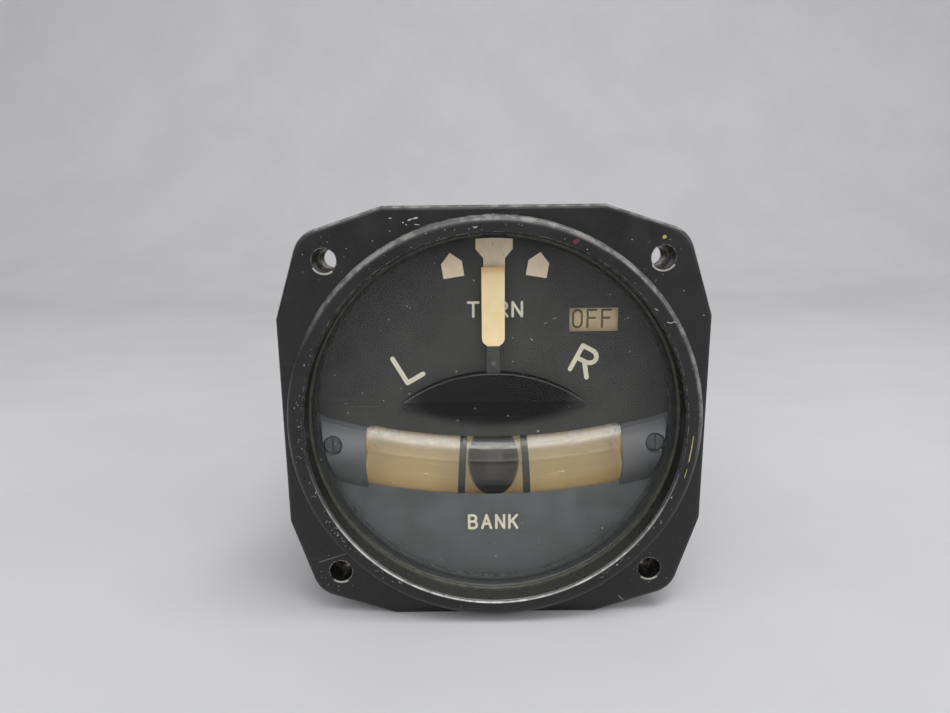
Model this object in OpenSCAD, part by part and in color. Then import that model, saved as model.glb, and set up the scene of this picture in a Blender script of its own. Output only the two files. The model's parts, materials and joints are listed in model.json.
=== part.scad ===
// Aircraft turn and slip indicator, 3 1/8 inch panel size, electric, with power flag.
// Millimetres. +Z is up, the dial faces -Y, +X is to the right of a person reading the dial.
// The origin is the centre of the front face of the flange, on the axis of the dial.

/* [Flange and bezel] */
// Width of the flange across its straight edges
flange_w = 82.5; // [81.5:0.25:85]
// Thickness of the flange
flange_t = 5; // [4.5:0.25:6]
// Length of each straight edge of the flange
flat_len = 41; // [37:0.5:45]
// Distance between mounting holes along each side
hole_pitch = 62.87; // [62.5:0.01:63.3]
// Diameter of the four mounting holes
mount_hole_d = 4.6; // [4.2:0.1:5]
// Radius of the flange corners
corner_r = 6; // [5.4:0.1:6.6]
// Width of the eased front edge of the flange
flange_edge = 0.8; // [0.4:0.1:1.2]
// Outside diameter of the raised ring
ring_d = 79; // [78.4:0.1:79.6]
// Height of the ring in front of the flange
ring_h = 4; // [3:0.25:5]
// Rounding of the outer front edge of the ring
ring_round = 1.4; // [0.8:0.1:1.8]
// Diameter of the opening in the ring
bore_d = 72.2; // [72:0.1:72.8]
// Length of the collar behind the flange
collar_len = 8; // [7:0.5:10]
// Width of the mounting nuts across flats
nut_af = 7.9; // [7:0.1:8.2]
// Height of the mounting nuts
nut_h = 3.9; // [3:0.1:5]

/* [Glass] */
// Thickness of the cover glass
glass_t = 2.5; // [2:0.1:3]
// Thickness of the gasket behind the glass
gasket_t = 0.8; // [0.6:0.1:1.2]
// Wire diameter of the snap ring
snap_wire_d = 1; // [0.8:0.1:1.2]
// Thickness of the lip that the glass seats on
lip_t = 1; // [0.8:0.1:1.5]

/* [Dial] */
// Thickness of the dial plate
dial_t = 0.8; // [0.6:0.1:1.2]
// Thickness of the inclinometer mask
mask_t = 0.8; // [0.6:0.1:1.2]
// Height of the pointer pivot below the dial centre
pivot_drop = 22; // [21:0.5:23]
// Radius of the hood's edge about the pointer pivot
arch_r = 30.8; // [30.2:0.2:32]
// Half width of the hood that the pointer comes out of
arch_half = 18.2; // [17:0.2:19]
// Width of the flag window
flag_w = 9.8; // [8:0.2:10.4]
// Height of the flag window
flag_h = 4.8; // [4:0.2:5.2]
// Distance of the dial screws from the centre line
post_x = 32.6; // [32.2:0.1:33]

/* [Inclinometer] */
// Outside diameter of the glass tube
tube_d = 15.2; // [14.8:0.1:15.4]
// Wall of the glass tube
tube_wall = 1.95; // [1.8:0.05:2.1]
// Radius of the curve of the tube
tube_arc_r = 122; // [116:1:130]
// Height of the lowest point of the tube axis below the dial centre
tube_drop = 11.85; // [11.6:0.05:12.1]
// Half of the angle that the tube spans
tube_half_deg = 13.2; // [12.9:0.1:13.4]
// Half width of the window in the mask
mask_half = 26; // [24:0.2:26.2]
// Half distance between the two centre bands
band_x = 6.5; // [6:0.1:7.5]
// Width of each centre band
band_w = 1.45; // [1:0.05:1.6]

/* [Pointer] */
// Thickness of the pointer sheet
pointer_t = 0.6; // [0.5:0.1:0.8]
// Width of the luminous blade
blade_w = 4.5; // [3.5:0.1:5]
// Width of the pointer stem
stem_w = 2.6; // [2:0.1:3]
// Distance of the blade tip from the pivot
blade_tip = 51.6; // [50:0.2:52]
// Length of the luminous blade
blade_len = 15.4; // [13:0.2:17]
// Thickness of the pointer arm behind the tube
arm_t = 0.8; // [0.6:0.1:1.2]
// Diameter of the pointer staff
staff_d = 2.4; // [2:0.1:2.8]

/* [Frame] */
// Thickness of the front frame plate
plate_t = 2; // [1.6:0.1:3]
// Thickness of the rear frame plate
rear_plate_t = 2.5; // [2:0.1:3.5]
// Distance of each frame pillar from both centre lines
pillar_x = 24; // [23.6:0.1:24.4]
// Diameter of the frame pillars
pillar_d = 5; // [4.4:0.1:5.4]
// Length of the rear spacers
spacer_len = 7; // [6.5:0.5:9]

/* [Gyro] */
// Teeth on the full circle of the gimbal sector
sector_teeth = 48; // [48, 54]
// Teeth on the full circle of the pointer pinion
pinion_teeth = 32; // [32, 36]
// Width of the gear teeth along the axis
gear_t = 2; // [1.5:0.1:2.4]
// Outside diameter of the gyro rotor
rotor_d = 40; // [38:0.5:41]
// Width of the gyro rotor
rotor_w = 24; // [22:0.5:25]
// Height of the gimbal frame
gimbal_h = 18; // [17:0.5:19]
// Diameter of the gimbal pivots
pivot_d = 3; // [2.6:0.1:3.4]
// Diameter of the rotor shaft
shaft_d = 4; // [3.6:0.1:4.2]
// Greatest tilt of the gimbal to each side in degrees
tilt_max = 18; // [16:0.5:18]

/* [Damper and spring] */
// Distance of the damper pin from the gimbal axis
damper_arm = 12; // [11.6:0.1:12.4]
// Inside diameter of the damper cylinder
damper_bore = 6.4; // [6:0.1:6.6]
// Distance of the spring post from the gimbal axis
spring_arm = 13; // [12.8:0.1:13.4]
// Number of curls in the centring spring
spring_curls = 9; // [7:1:12]

/* [Case] */
// Outside diameter of the case
case_d = 78; // [77.8:0.1:78.4]
// Wall of the case
case_wall = 1.4; // [1.2:0.1:1.5]
// Thickness of the end wall of the case
case_end_t = 2; // [1.6:0.1:3]
// Height of the connector below the dial centre
plug_drop = 13; // [12.6:0.1:14]
// Outside diameter of the connector shell
plug_d = 15.8; // [15:0.1:16.4]
// Length of the connector shell
plug_len = 12; // [10:0.5:14]

/* [Hidden] */
$fn = 64;
fit = 0.02;
run = 0.05;
// Bezel section
flange_half = flange_w / 2;
hole_x = hole_pitch / 2;
ring_r = ring_d / 2;
bore_r = bore_d / 2;
wire_r = snap_wire_d / 2;
snap_y = 0.1 + wire_r;
groove_r = bore_r + wire_r + 0.05;
glass_r = bore_r - 0.2;
glass_y0 = snap_y + wire_r + 0.03;
gasket_y0 = glass_y0 + glass_t;
lip_y0 = gasket_y0 + gasket_t;
lip_y1 = lip_y0 + lip_t;
lip_r = bore_r - 0.9;
case_r = case_d / 2;
case_in_r = case_r - case_wall;
collar_r = case_in_r - run;
collar_in_r = collar_r - 1.25;
collar_y1 = flange_t + collar_len;
seal_t = 0.6;
bore_ease = 0.4;
core_r = lip_r - 5;
nut_bore_r = 1.8;
case_y0 = flange_t + seal_t;
case_screw_r = 0.8;
case_screw_in = 4;
case_head_r = 1.7;
case_head_h = 0.8;
case_round = 1.2;
slot_w = 0.5;
// Dial stack, front to back
mask_y0 = lip_y1 + 0.55;
dial_y0 = mask_y0 + mask_t;
dial_y1 = dial_y0 + dial_t;
dial_r = collar_in_r - 0.3;
pointer_y0 = mask_y0 - 0.3 - pointer_t;
pivot_z = -pivot_drop;
// The hood is pressed out of the dial, and the pointer comes up behind its edge
hood_t = 0.5;
hood_gap = 0.3;
hood_y0 = pointer_y0 - hood_gap - hood_t;
hood_half = arch_half - 0.2;
hood_chord = pivot_z + sqrt(arch_r * arch_r - hood_half * hood_half);
hood_low = hood_chord - 4.2;
hood_end_r = arch_half + 0.2;
hood_foot_r = 3.5 * arch_half;
slit_deg = 31;
slit_play = 0.6;
window_round = 1.2;
dial_screw_r = 1;
dial_hole_r = 1.1;
dial_head_r = 1.7;
dial_head_h = 1;
dial_screw_in = 4;
// Inclinometer
tube_r = tube_d / 2;
tube_in_r = tube_r - tube_wall;
ball_r = tube_in_r - 0.2;
glass_gap = 0.25;
ridge_skin = 0.5;
ridge_y0 = gasket_y0 + glass_gap;
tube_y = ridge_y0 + ridge_skin + tube_r;
tube_z = -tube_drop;
arc_z = tube_z + tube_arc_r;
plug_deg = 0.9;
band_t = 0.3;
half_plane = 2 * tube_d;
cradle_in = tube_r + 0.2;
cradle_t = 0.5;
cradle_out = cradle_in + cradle_t;
cradle_deg = tube_half_deg + 0.15;
ear_deg = 0.5;
// The mask rises into a ridge over the ends of the tube
ridge_up = -0.46;
ridge_half = tube_r - 0.8;
ridge_rise = dial_y0 - ridge_y0;
ridge_r = (ridge_half * ridge_half + ridge_rise * ridge_rise) / (2 * ridge_rise);
ridge_reach = min(lip_r, dial_r) - 0.4;
ridge_deg = asin((dial_r + 1) / tube_arc_r);
pocket_r = tube_r + 0.15;
pocket_deg = tube_half_deg + 0.25;
band_gap = 0.12;
mask_edge_r = tube_arc_r - ridge_half - ridge_up;
slot_top_r = mask_edge_r - 0.45;
slot_low_r = tube_arc_r + tube_r;
slot_half = (tube_arc_r + tube_r) * sin(tube_half_deg) + 0.3;
post_z = -5.9;
post_r = 2;
tenon_r = 1.2;
ear_over = 2.1;
ear_high = 2.9;
ear_low = 3.4;
ear_y1 = dial_y1 + 0.8;
// Pointer and front plate
cradle_back = tube_y + cradle_out;
arm_gap = 0.4;
arm_y0 = cradle_back + arm_gap;
hub_y0 = arm_y0 - 0.4;
hub_len = arm_t + 1.6;
staff_r = staff_d / 2;
hub_wall = 1.8;
tail_len = 10.4;
blade_ease = 1.5;
weight_dist = 8.4;
weight_r = 2.4;
weight_len = 2;
bar_r1 = arch_r - 1;
plate_y0 = arm_y0 + arm_t + 2;
plate_y1 = plate_y0 + plate_t;
plate_r = case_in_r - 0.1;
// Gears
gear_m = 2 * pivot_drop / (sector_teeth + pinion_teeth);
gear_y0 = plate_y1 + 1.8;
bridge_y0 = gear_y0 + gear_t + 1.6;
bridge_t = 1.6;
bridge_y1 = bridge_y0 + bridge_t;
bridge_half = 15;
bridge_low = 3;
bridge_boss = 6;
bridge_high = 4.5;
bridge_post_x = 12.5;
bridge_post_r = 2;
bridge_screw_r = 0.8;
bridge_head_r = 1.8;
bridge_head_h = 1;
bridge_screw_in = 2.5;
pinion_hub_wall = 2;
pinion_hub_len = 1;
pinion_half_deg = 45;
sector_half_deg = 31;
// Frame holes and screws
frame_screw_r = 1.2;
frame_hole_play = 0.15;
frame_screw_in = 5;
frame_head_r = 2.1;
frame_head_h = 1.4;
rear_head_r = 2.3;
rear_head_h = 1.5;
spacer_r = 2.6;
front_hole_x = 12;
front_hole_r = 4.5;
rear_hole_x = 22;
rear_hole_r = 6;
bush_wall = 2;
// Gimbal and rotor
gimbal_y0 = bridge_y1 + 1;
gimbal_end_t = 3;
gimbal_gap = 1.6;
rotor_r = rotor_d / 2;
rotor_y = gimbal_y0 + gimbal_end_t + gimbal_gap + rotor_r;
gimbal_y1 = rotor_y + rotor_r + gimbal_gap + gimbal_end_t;
gimbal_in_x = rotor_w / 2 + 3;
gimbal_x = gimbal_in_x + 4;
pivot_r = pivot_d / 2;
shaft_r = shaft_d / 2;
race_out_r = shaft_r + 3;
race_t = 0.8;
race_w = 3.6;
ball_bearing_r = 0.6;
race_x = gimbal_in_x + 2;
rotor_ease = 1;
cup_r = 13;
cup_wall = 3;
rotor_hub_r = 4.6;
rotor_hub_len = 5.4;
stator_r = cup_r - 0.8;
stator_x0 = -3;
stator_x1 = rotor_w / 2 - 4;
stator_neck_r = 6.5;
stator_foot_r = 13.5;
stator_foot_x = rotor_w / 2 + 0.8;
stator_slot_w = 1.6;
stator_slot_r = 9;
winding_r0 = 6.6;
winding_r1 = 11.4;
winding_h = 2.2;
winding_ease = 1;
winding_side = 0.6;
balance_x = gimbal_in_x - 1;
balance_r = 2;
balance_len = 2;
balance_screw_r = 1;
// Damper, spring and rear plate
lever_y0 = gimbal_y1 + 2.2;
lever_t = 2;
lever_y1 = lever_y0 + lever_t;
lever_w = 5;
pin_r = 1;
pin_play = 0.15;
yoke_t = 1.6;
damper_y = lever_y1 + 0.8 + yoke_t / 2;
damper_r = damper_bore / 2;
damper_out_r = damper_r + 0.8;
damper_x0 = 11;
damper_x1 = 27;
damper_end_t = 1.5;
vent_r = 0.4;
clamp_x = 15;
clamp_len = 8;
clamp_h = 11;
clamp_y = damper_y + 1.5;
yoke_w = 5.2;
yoke_rim = 1.2;
rod_r = 0.75;
head_x0 = 17;
head_x1 = 20;
damper_travel = damper_arm * tilt_max * PI / 180;
stop_r = 1;
stop_dist = 10.4;
stop_deg = tilt_max + 0.8 + asin((lever_w / 2 + stop_r) / stop_dist);
spring_low = -27;
spring_wire = 0.25;
coil_r = 1.7;
coil_end_r = 0.5;
hook_r = 1.4;
low_hook_r = 1.2;
hook_len = 3;
low_hook_len = 2.4;
link_r = spring_wire + 0.15;
shelf_z = spring_low - 5.2;
shelf_t = 2;
shelf_w = 8;
adjust_y = damper_y + 0.8;
adjust_r = 1.2;
adjust_low = spring_low - 7.6;
adjust_len = 5.2;
lock_nut_r = 2.2;
lock_nut_h = 1.4;
adjust_eye_r = 0.8;
rear_y0 = damper_y + damper_out_r + 0.6;
rear_y1 = rear_y0 + rear_plate_t;
case_in_y = rear_y1 + spacer_len;
case_y1 = case_in_y + case_end_t;
// Flag
flag_x = 20;
flag_z = 18.9;
flag_y0 = dial_y1 + 1.1;
flag_t = 0.6;
flag_axis_y = flag_y0 + 2.8;
flag_axis_z = 12.2;
arbor_r = 0.7;
flag_over = 0.8;
lug_t = 1;
lug_wall = 0.7;
lug_in = 0.6;
ear_h = 4;
ear_front = 1.8;
foot_t = 1;
coil_can_r = 3.2;
coil_can_len = 7;
arbor_in = 1.5;
flag_x0 = flag_x - flag_w / 2 - 0.9;
flag_x1 = flag_x + flag_w / 2 + 0.9;
ear_in_0 = flag_x0 - 1.2;
ear_in_1 = flag_x1 + 1.2;
ear_t = 1;
// Connector
plug_z = -plug_drop;
plug_r = plug_d / 2;
plug_flange_w = 25.4;
plug_flange_t = 2.4;
plug_hole = 9.13;
plug_wall = 1.6;
plug_step = 0.6;
plug_screw_r = 1;
plug_head_r = 1.9;
plug_head_h = 1.2;
insert_back = 6;
pin_circle_r = 3.2;
contact_r = 0.8;
contact_back = 1.5;
plug_y1 = case_y1 + plug_flange_t + plug_len;

// Helpers

// A flat piece: the drawing is in X and Z, extruded along Y
module slab(y0, t) translate([0, y0 + t, 0]) rotate([90, 0, 0]) linear_extrude(t) children();

// A turned piece about the Y axis: drawing x is the radius, drawing y is world Y
module turned() rotate([-90, 0, 0]) rotate_extrude($fn = 128) children();

// A turned piece about the X axis: drawing x is the radius, drawing y is world X
module turned_x() rotate([0, 90, 0]) rotate_extrude() children();

module rod_y(r, y0, y1) translate([0, y0, 0]) rotate([-90, 0, 0]) cylinder(r = r, h = y1 - y0);

module rod_x(r, x0, x1) translate([x0, 0, 0]) rotate([0, 90, 0]) cylinder(r = r, h = x1 - x0);

module tube_y(r_out, r_in, y0, y1) difference() {
  rod_y(r_out, y0, y1);
  rod_y(r_in, y0 - 1, y1 + 1);
}

// A piece swept along the curve of the tube from angle a0 to a1, measured from the lowest point
module on_arc(a0, a1) translate([0, tube_y, arc_z]) rotate([-90, 0, 0]) rotate([0, 0, 90 - a1])
  rotate_extrude(angle = a1 - a0, $fn = 360) translate([tube_arc_r, 0]) children();

// Points of an arc in a drawing
function arc_pts(c, r, a0, a1, n) = [for (i = [0 : n]) let (a = a0 + (a1 - a0) * i / n)
  [c[0] + r * cos(a), c[1] + r * sin(a)]];

// Four places on a square
module four(d) for (sx = [-1, 1], sz = [-1, 1]) translate([sx * d, 0, sz * d]) children();

// The outline of the flange: flats, slopes and round corners about each hole
corner_d = norm([hole_x - flat_len / 2, flange_half - hole_x]);
corner_deg = atan2(flange_half - hole_x, flat_len / 2 - hole_x) - acos(corner_r / corner_d);
edge_k = cos(corner_deg) / (1 + sin(corner_deg));
function quarter(e) = concat([[flange_half - e, flat_len / 2 - e * edge_k]],
  arc_pts([hole_x, hole_x], corner_r - e, 90 - corner_deg, corner_deg, 8),
  [[flat_len / 2 - e * edge_k, flange_half - e]]);
function turn_pts(p, a) = [for (q = p) [q[0] * cos(a) - q[1] * sin(a), q[0] * sin(a) + q[1] * cos(a)]];
function flange_pts(e) = concat(quarter(e), turn_pts(quarter(e), 90), turn_pts(quarter(e), 180),
  turn_pts(quarter(e), 270));

// A curved window between two radii about the tube's arc centre, with straight rounded ends
function arc_at(r, x) = arc_z - sqrt(r * r - x * x);
function smile_pts(r_top, r_low, half, c) = concat(
  [for (i = [-10 : 10]) let (x = (half - c) * i / 10) [x, arc_at(r_top, x)]],
  [for (i = [1 : 4]) let (a = 22.5 * i)
    [half - c + c * sin(a), arc_at(r_top, half - c) - c + c * cos(a)]],
  [for (i = [0 : 4]) let (a = 22.5 * i)
    [half - c + c * cos(a), arc_at(r_low, half - c) + c - c * sin(a)]],
  [for (i = [9 : -1 : -10]) let (x = (half - c) * i / 10) [x, arc_at(r_low, x)]],
  [for (i = [1 : 4]) let (a = 22.5 * i)
    [-half + c - c * sin(a), arc_at(r_low, half - c) + c - c * cos(a)]],
  [for (i = [0 : 3]) let (a = 22.5 * i)
    [-half + c - c * cos(a), arc_at(r_top, half - c) - c + c * sin(a)]]);

// Involute gear teeth, as one sector drawing pointing up
function invo(a) = tan(a) * 180 / PI - a;
function flank(n, m, r) = let (rp = n * m / 2, rb = rp * cos(20), a = acos(min(1, rb / r)))
  90 / n - 0.03 / rp * 180 / PI + invo(20) - invo(a);
function polar(r, a) = [r * sin(a), r * cos(a)];
function tooth(n, m, c) = let (rp = n * m / 2, rb = rp * cos(20), r0 = rp - 1.25 * m, r1 = rp + m,
    rs = max(r0 + 0.02, rb))
  concat([polar(r0, c - flank(n, m, rs))],
    [for (i = [0 : 5]) let (r = rs + (r1 - rs) * i / 5) polar(r, c - flank(n, m, r))],
    [for (i = [5 : -1 : 0]) let (r = rs + (r1 - rs) * i / 5) polar(r, c + flank(n, m, r))],
    [polar(r0, c + flank(n, m, rs))]);
function sector_pts(n, m, half, off) = let (p = 360 / n, k = floor(half / p - off),
    r0 = n * m / 2 - 1.25 * m, end = (k + off + 0.5) * p)
  concat([polar(1, -end)], [polar(r0, -end)],
    [for (i = [-k - (off > 0 ? 1 : 0) : k]) each tooth(n, m, (i + off) * p)],
    [polar(r0, end), polar(1, end)]);

// Front of the instrument

module bezel_flange() color([0.12, 0.12, 0.13]) difference() {
  union() {
    hull() {
      slab(0, 0.1) polygon(flange_pts(flange_edge));
      slab(flange_edge * 0.3, 0.1) polygon(flange_pts(flange_edge * 0.3));
      slab(flange_edge, flange_t - flange_edge) polygon(flange_pts(0));
    }
    turned() polygon(concat([[core_r, -ring_h]],
      arc_pts([ring_r - ring_round, -ring_h + ring_round], ring_round, -90, 0, 5),
      [[ring_r, flange_t / 5], [core_r, flange_t / 5]]));
    turned() polygon([[core_r, flange_t / 2], [collar_r, flange_t / 2], [collar_r, collar_y1],
      [core_r, collar_y1]]);
  }
  turned() polygon([[0, -ring_h - 2], [bore_r + bore_ease, -ring_h - 2],
    [bore_r + bore_ease, -ring_h], [bore_r, -ring_h + bore_ease], [bore_r, snap_y - wire_r - 0.05],
    [groove_r, snap_y - wire_r - 0.05],
    [groove_r, snap_y + wire_r + 0.03], [bore_r, snap_y + wire_r + 0.03], [bore_r, lip_y0],
    [lip_r, lip_y0], [lip_r, lip_y1], [collar_in_r, lip_y1], [collar_in_r, collar_y1 + 2],
    [0, collar_y1 + 2]]);
  four(hole_x) rod_y(mount_hole_d / 2, -2, flange_t + 2);
  for (a = [0 : 90 : 270]) rotate([0, a, 0]) translate([0, case_y0 + case_screw_in, 0])
    rod_x(case_screw_r, collar_in_r - 2, collar_r + 2);
}

module mounting_nuts() color([0.55, 0.55, 0.52]) four(hole_x) difference() {
  translate([0, flange_t, 0]) rotate([-90, 0, 0]) cylinder(d = nut_af / cos(30), h = nut_h, $fn = 6);
  rod_y(nut_bore_r, flange_t - 1, flange_t + nut_h + 1);
}

module cover_glass() color([0.8, 0.9, 0.9, 0.35]) rod_y(glass_r, glass_y0, gasket_y0);

module glass_gasket() color([0.25, 0.24, 0.2]) tube_y(glass_r, lip_r, gasket_y0, lip_y0);

module glass_snap_ring() color([0.6, 0.6, 0.55]) rotate([-90, 0, 0]) rotate([0, 0, 274])
  rotate_extrude(angle = 352, $fn = 128) translate([bore_r, snap_y]) circle(wire_r, $fn = 24);

// The hood, drawn in by e where it is hollowed: flat behind its edge, then sloping back to the dial
module hood_form(e, y0, y1) intersection() {
  slab(y0, y1 - y0) intersection() {
    translate([0, pivot_z]) circle(arch_r + 2 * e, $fn = 128);
    translate([0, -0.2]) circle(hood_end_r - e, $fn = 96);
    translate([0, hood_low + hood_foot_r]) circle(hood_foot_r - e, $fn = 128);
  }
  translate([-2 * arch_half, 0, 0]) rotate([90, 0, 90]) linear_extrude(4 * arch_half)
    polygon([[y0, hood_chord + e / 5], [y1, hood_low + 3 * e], [y1, 2 * arch_half], [y0, 2 * arch_half]]);
}

module dial_plate() color([0.07, 0.07, 0.08]) difference() {
  union() {
    slab(dial_y0, dial_t) difference() {
      circle(dial_r, $fn = 128);
      translate([flag_x - flag_w / 2, flag_z - flag_h / 2]) square([flag_w, flag_h]);
      polygon(smile_pts(slot_top_r, slot_low_r, mask_half, window_round));
      polygon(smile_pts(mask_edge_r + 0.05, slot_low_r, slot_half, window_round));
      for (s = [-1, 1]) translate([s * post_x, post_z]) circle(dial_hole_r);
    }
    hood_form(0, hood_y0, dial_y0 + dial_t / 2);
  }
  hood_form(hood_t, hood_y0 + hood_t, dial_y0 + fit);
  slab(dial_y0 - fit, 2 * dial_t) translate([0, pivot_z]) intersection() {
    difference() {
      circle(arch_r - 1 + slit_play, $fn = 128);
      circle(bar_r1 - arm_t - slit_play, $fn = 128);
    }
    polygon([[0, 0], [2 * arch_r * tan(slit_deg), 2 * arch_r], [-2 * arch_r * tan(slit_deg), 2 * arch_r]]);
  }
}

module inclinometer_mask() color([0.1, 0.1, 0.11]) difference() {
  union() {
    slab(mask_y0, mask_t) difference() {
      circle(dial_r, $fn = 128);
      translate([0, arc_z]) circle(mask_edge_r, $fn = 360);
    }
    intersection() {
      on_arc(-ridge_deg, ridge_deg) intersection() {
        translate([-ridge_up, ridge_y0 + ridge_r - tube_y]) circle(ridge_r, $fn = 96);
        translate([-half_plane / 2, dial_y0 - tube_y - half_plane]) square(half_plane);
      }
      rod_y(ridge_reach, ridge_y0 - 1, dial_y0 + 1);
    }
  }
  // Open over the middle of the tube, with pockets for its ends
  translate([-mask_half, ridge_y0 - 1, tube_z])
    cube([2 * mask_half, dial_y0 - ridge_y0 + 2, 2 * ridge_half + 2 * ridge_up]);
  intersection() {
    on_arc(-pocket_deg, pocket_deg) circle(tube_r + run + band_t + band_gap);
    translate([-mask_half, ridge_y0 - 1, tube_z - 2 * tube_d]) cube([2 * mask_half, 4 * tube_d, 4 * tube_d]);
  }
  intersection() {
    on_arc(-ridge_deg, ridge_deg) translate([-ridge_half, -half_plane])
      square([2 * ridge_half, 2 * half_plane]);
    translate([-mask_half, ridge_y0 - 1, tube_z - 2 * tube_d])
      cube([2 * mask_half, mask_y0 - ridge_y0 + 1, 4 * tube_d]);
  }
  on_arc(-pocket_deg, pocket_deg) circle(pocket_r);
  for (s = [-1, 1]) translate([s * post_x, 0, post_z]) {
    rod_y(dial_hole_r, ridge_y0 - 1, dial_y0 + 1);
    rod_y(dial_head_r + 0.3, ridge_y0 - 1, mask_y0);
  }
}

module dial_screws() color([0.15, 0.15, 0.15]) for (s = [-1, 1]) translate([s * post_x, 0, post_z])
  difference() {
    union() {
      rod_y(dial_head_r, mask_y0 - dial_head_h, mask_y0);
      rod_y(dial_screw_r, mask_y0 - dial_head_h / 2, ear_y1 + dial_screw_in);
    }
    translate([-slot_w / 2, mask_y0 - 2 * dial_head_h, -2 * dial_head_r])
      cube([slot_w, 1.5 * dial_head_h, 4 * dial_head_r]);
  }

module dial_posts() color([0.7, 0.65, 0.45]) for (s = [-1, 1]) translate([s * post_x, 0, post_z])
  difference() {
    union() {
      rod_y(post_r, ear_y1, plate_y0);
      rod_y(tenon_r, plate_y0 - 0.5, plate_y1);
    }
    rod_y(dial_screw_r + fit, ear_y1 - 1, ear_y1 + dial_screw_in + 0.5);
  }

// Inclinometer

module inclinometer_tube() color([0.85, 0.85, 0.75, 0.5]) on_arc(-tube_half_deg, tube_half_deg)
  difference() {
    circle(tube_r);
    circle(tube_in_r);
  }

module tube_end_plugs() color([0.2, 0.2, 0.2]) {
  on_arc(tube_half_deg - plug_deg, tube_half_deg) circle(tube_in_r - run);
  on_arc(-tube_half_deg, -tube_half_deg + plug_deg) circle(tube_in_r - run);
}

module slip_ball() color([0.05, 0.05, 0.05]) translate([0, tube_y, tube_z]) sphere(ball_r);

module centre_bands() color([0.3, 0.3, 0.3]) for (s = [-1, 1]) {
  a = s * asin(band_x / tube_arc_r);
  h = band_w / 2 / tube_arc_r * 180 / PI;
  on_arc(a - h, a + h) intersection() {
    difference() {
      circle(tube_r + run + band_t);
      circle(tube_r + run);
    }
    translate([-half_plane / 2, -half_plane]) square(half_plane);
  }
}

module tube_cradle() color([0.85, 0.75, 0.5]) {
  on_arc(-cradle_deg - ear_deg / 2, cradle_deg + ear_deg / 2) intersection() {
    difference() {
      circle(cradle_out);
      circle(cradle_in);
    }
    translate([-half_plane / 2, 0]) square(half_plane);
  }
  for (s = [-1, 1]) {
    mid = s * (cradle_deg + ear_deg / 2);
    on_arc(mid - ear_deg / 2, mid + ear_deg / 2)
      translate([-cradle_out + 0.4, dial_y1 - tube_y])
        square([2 * cradle_out - 0.8, cradle_back - dial_y1 - 0.4]);
    difference() {
      ear_x = tube_arc_r * sin(cradle_deg);
      slab(dial_y1, ear_y1 - dial_y1) polygon([for (p = [[ear_x, post_z - ear_low],
        [post_x + ear_over / 2, post_z - ear_over * 1.3], [post_x + ear_over, post_z],
        [post_x + ear_over * 0.86, post_z + ear_over * 1.2], [ear_x, post_z + ear_high]]) [s * p[0], p[1]]]);
      translate([s * post_x, 0, post_z]) rod_y(dial_hole_r, dial_y1 - 1, ear_y1 + 1);
    }
  }
}

// Pointer

module turn_pointer() color([0.9, 0.78, 0.55]) difference() {
  union() {
    translate([0, 0, pivot_z]) {
      rod_y(staff_r + hub_wall, hub_y0, hub_y0 + hub_len);
      translate([-stem_w / 2, arm_y0, -tail_len]) cube([stem_w, arm_t, bar_r1 + tail_len]);
      translate([-stem_w / 2, pointer_y0, bar_r1 - arm_t]) cube([stem_w, arm_y0 + arm_t - pointer_y0, arm_t]);
      translate([-stem_w / 2, pointer_y0, bar_r1 - arm_t])
        cube([stem_w, pointer_t, blade_tip - blade_len - bar_r1 + arm_t + 2]);
      b0 = blade_tip - blade_len;
      w = blade_w / 2;
      e = blade_ease;
      slab(pointer_y0, pointer_t) polygon(concat(arc_pts([-w + e, b0 + e], e, 180, 270, 4),
        arc_pts([w - e, b0 + e], e, 270, 360, 4), [[w, blade_tip], [-w, blade_tip]]));
    }
  }
  translate([0, 0, pivot_z]) rod_y(staff_r + fit, hub_y0 - 1, hub_y0 + hub_len + 1);
}

module pointer_staff() color([0.75, 0.75, 0.75]) translate([0, 0, pivot_z])
  rod_y(staff_r, hub_y0 - 0.3, bridge_y1 + 0.3);

module pointer_pinion() color([0.8, 0.65, 0.3]) translate([0, 0, pivot_z]) difference() {
  union() {
    slab(gear_y0, gear_t) polygon(sector_pts(pinion_teeth, gear_m, pinion_half_deg, 0.5));
    rod_y(staff_r + pinion_hub_wall, gear_y0, gear_y0 + gear_t + pinion_hub_len);
  }
  rod_y(staff_r + fit, gear_y0 - 1, gear_y0 + gear_t + 2);
}

module pointer_counterweight() color([0.7, 0.6, 0.3]) translate([0, 0, pivot_z - weight_dist])
  rod_y(weight_r, arm_y0 - weight_len, arm_y0);

module pointer_bearings() color([0.75, 0.6, 0.25]) translate([0, 0, pivot_z]) {
  tube_y(staff_r + hub_wall, staff_r + run, plate_y0, plate_y1);
  tube_y(staff_r + hub_wall, staff_r + run, bridge_y0, bridge_y1);
}

module pointer_bridge() color([0.65, 0.65, 0.62]) translate([0, 0, pivot_z]) difference() {
  slab(bridge_y0, bridge_t) polygon([[-bridge_half, -bridge_low], [bridge_half, -bridge_low],
    [bridge_half, bridge_low], [bridge_boss, bridge_high], [-bridge_boss, bridge_high],
    [-bridge_half, bridge_low]]);
  rod_y(staff_r + hub_wall + fit, bridge_y0 - 1, bridge_y1 + 1);
  for (s = [-1, 1]) translate([s * bridge_post_x, 0, 0])
    rod_y(bridge_screw_r + 0.3, bridge_y0 - 1, bridge_y1 + 1);
}

module bridge_posts() color([0.7, 0.65, 0.45]) translate([0, 0, pivot_z]) for (s = [-1, 1])
  translate([s * bridge_post_x, 0, 0]) difference() {
    union() {
      rod_y(bridge_post_r, plate_y1, bridge_y0);
      rod_y(tenon_r, plate_y0, plate_y1 + 0.5);
    }
    rod_y(bridge_screw_r + fit, bridge_y0 - bridge_screw_in - 0.5, bridge_y0 + 1);
  }

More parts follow.
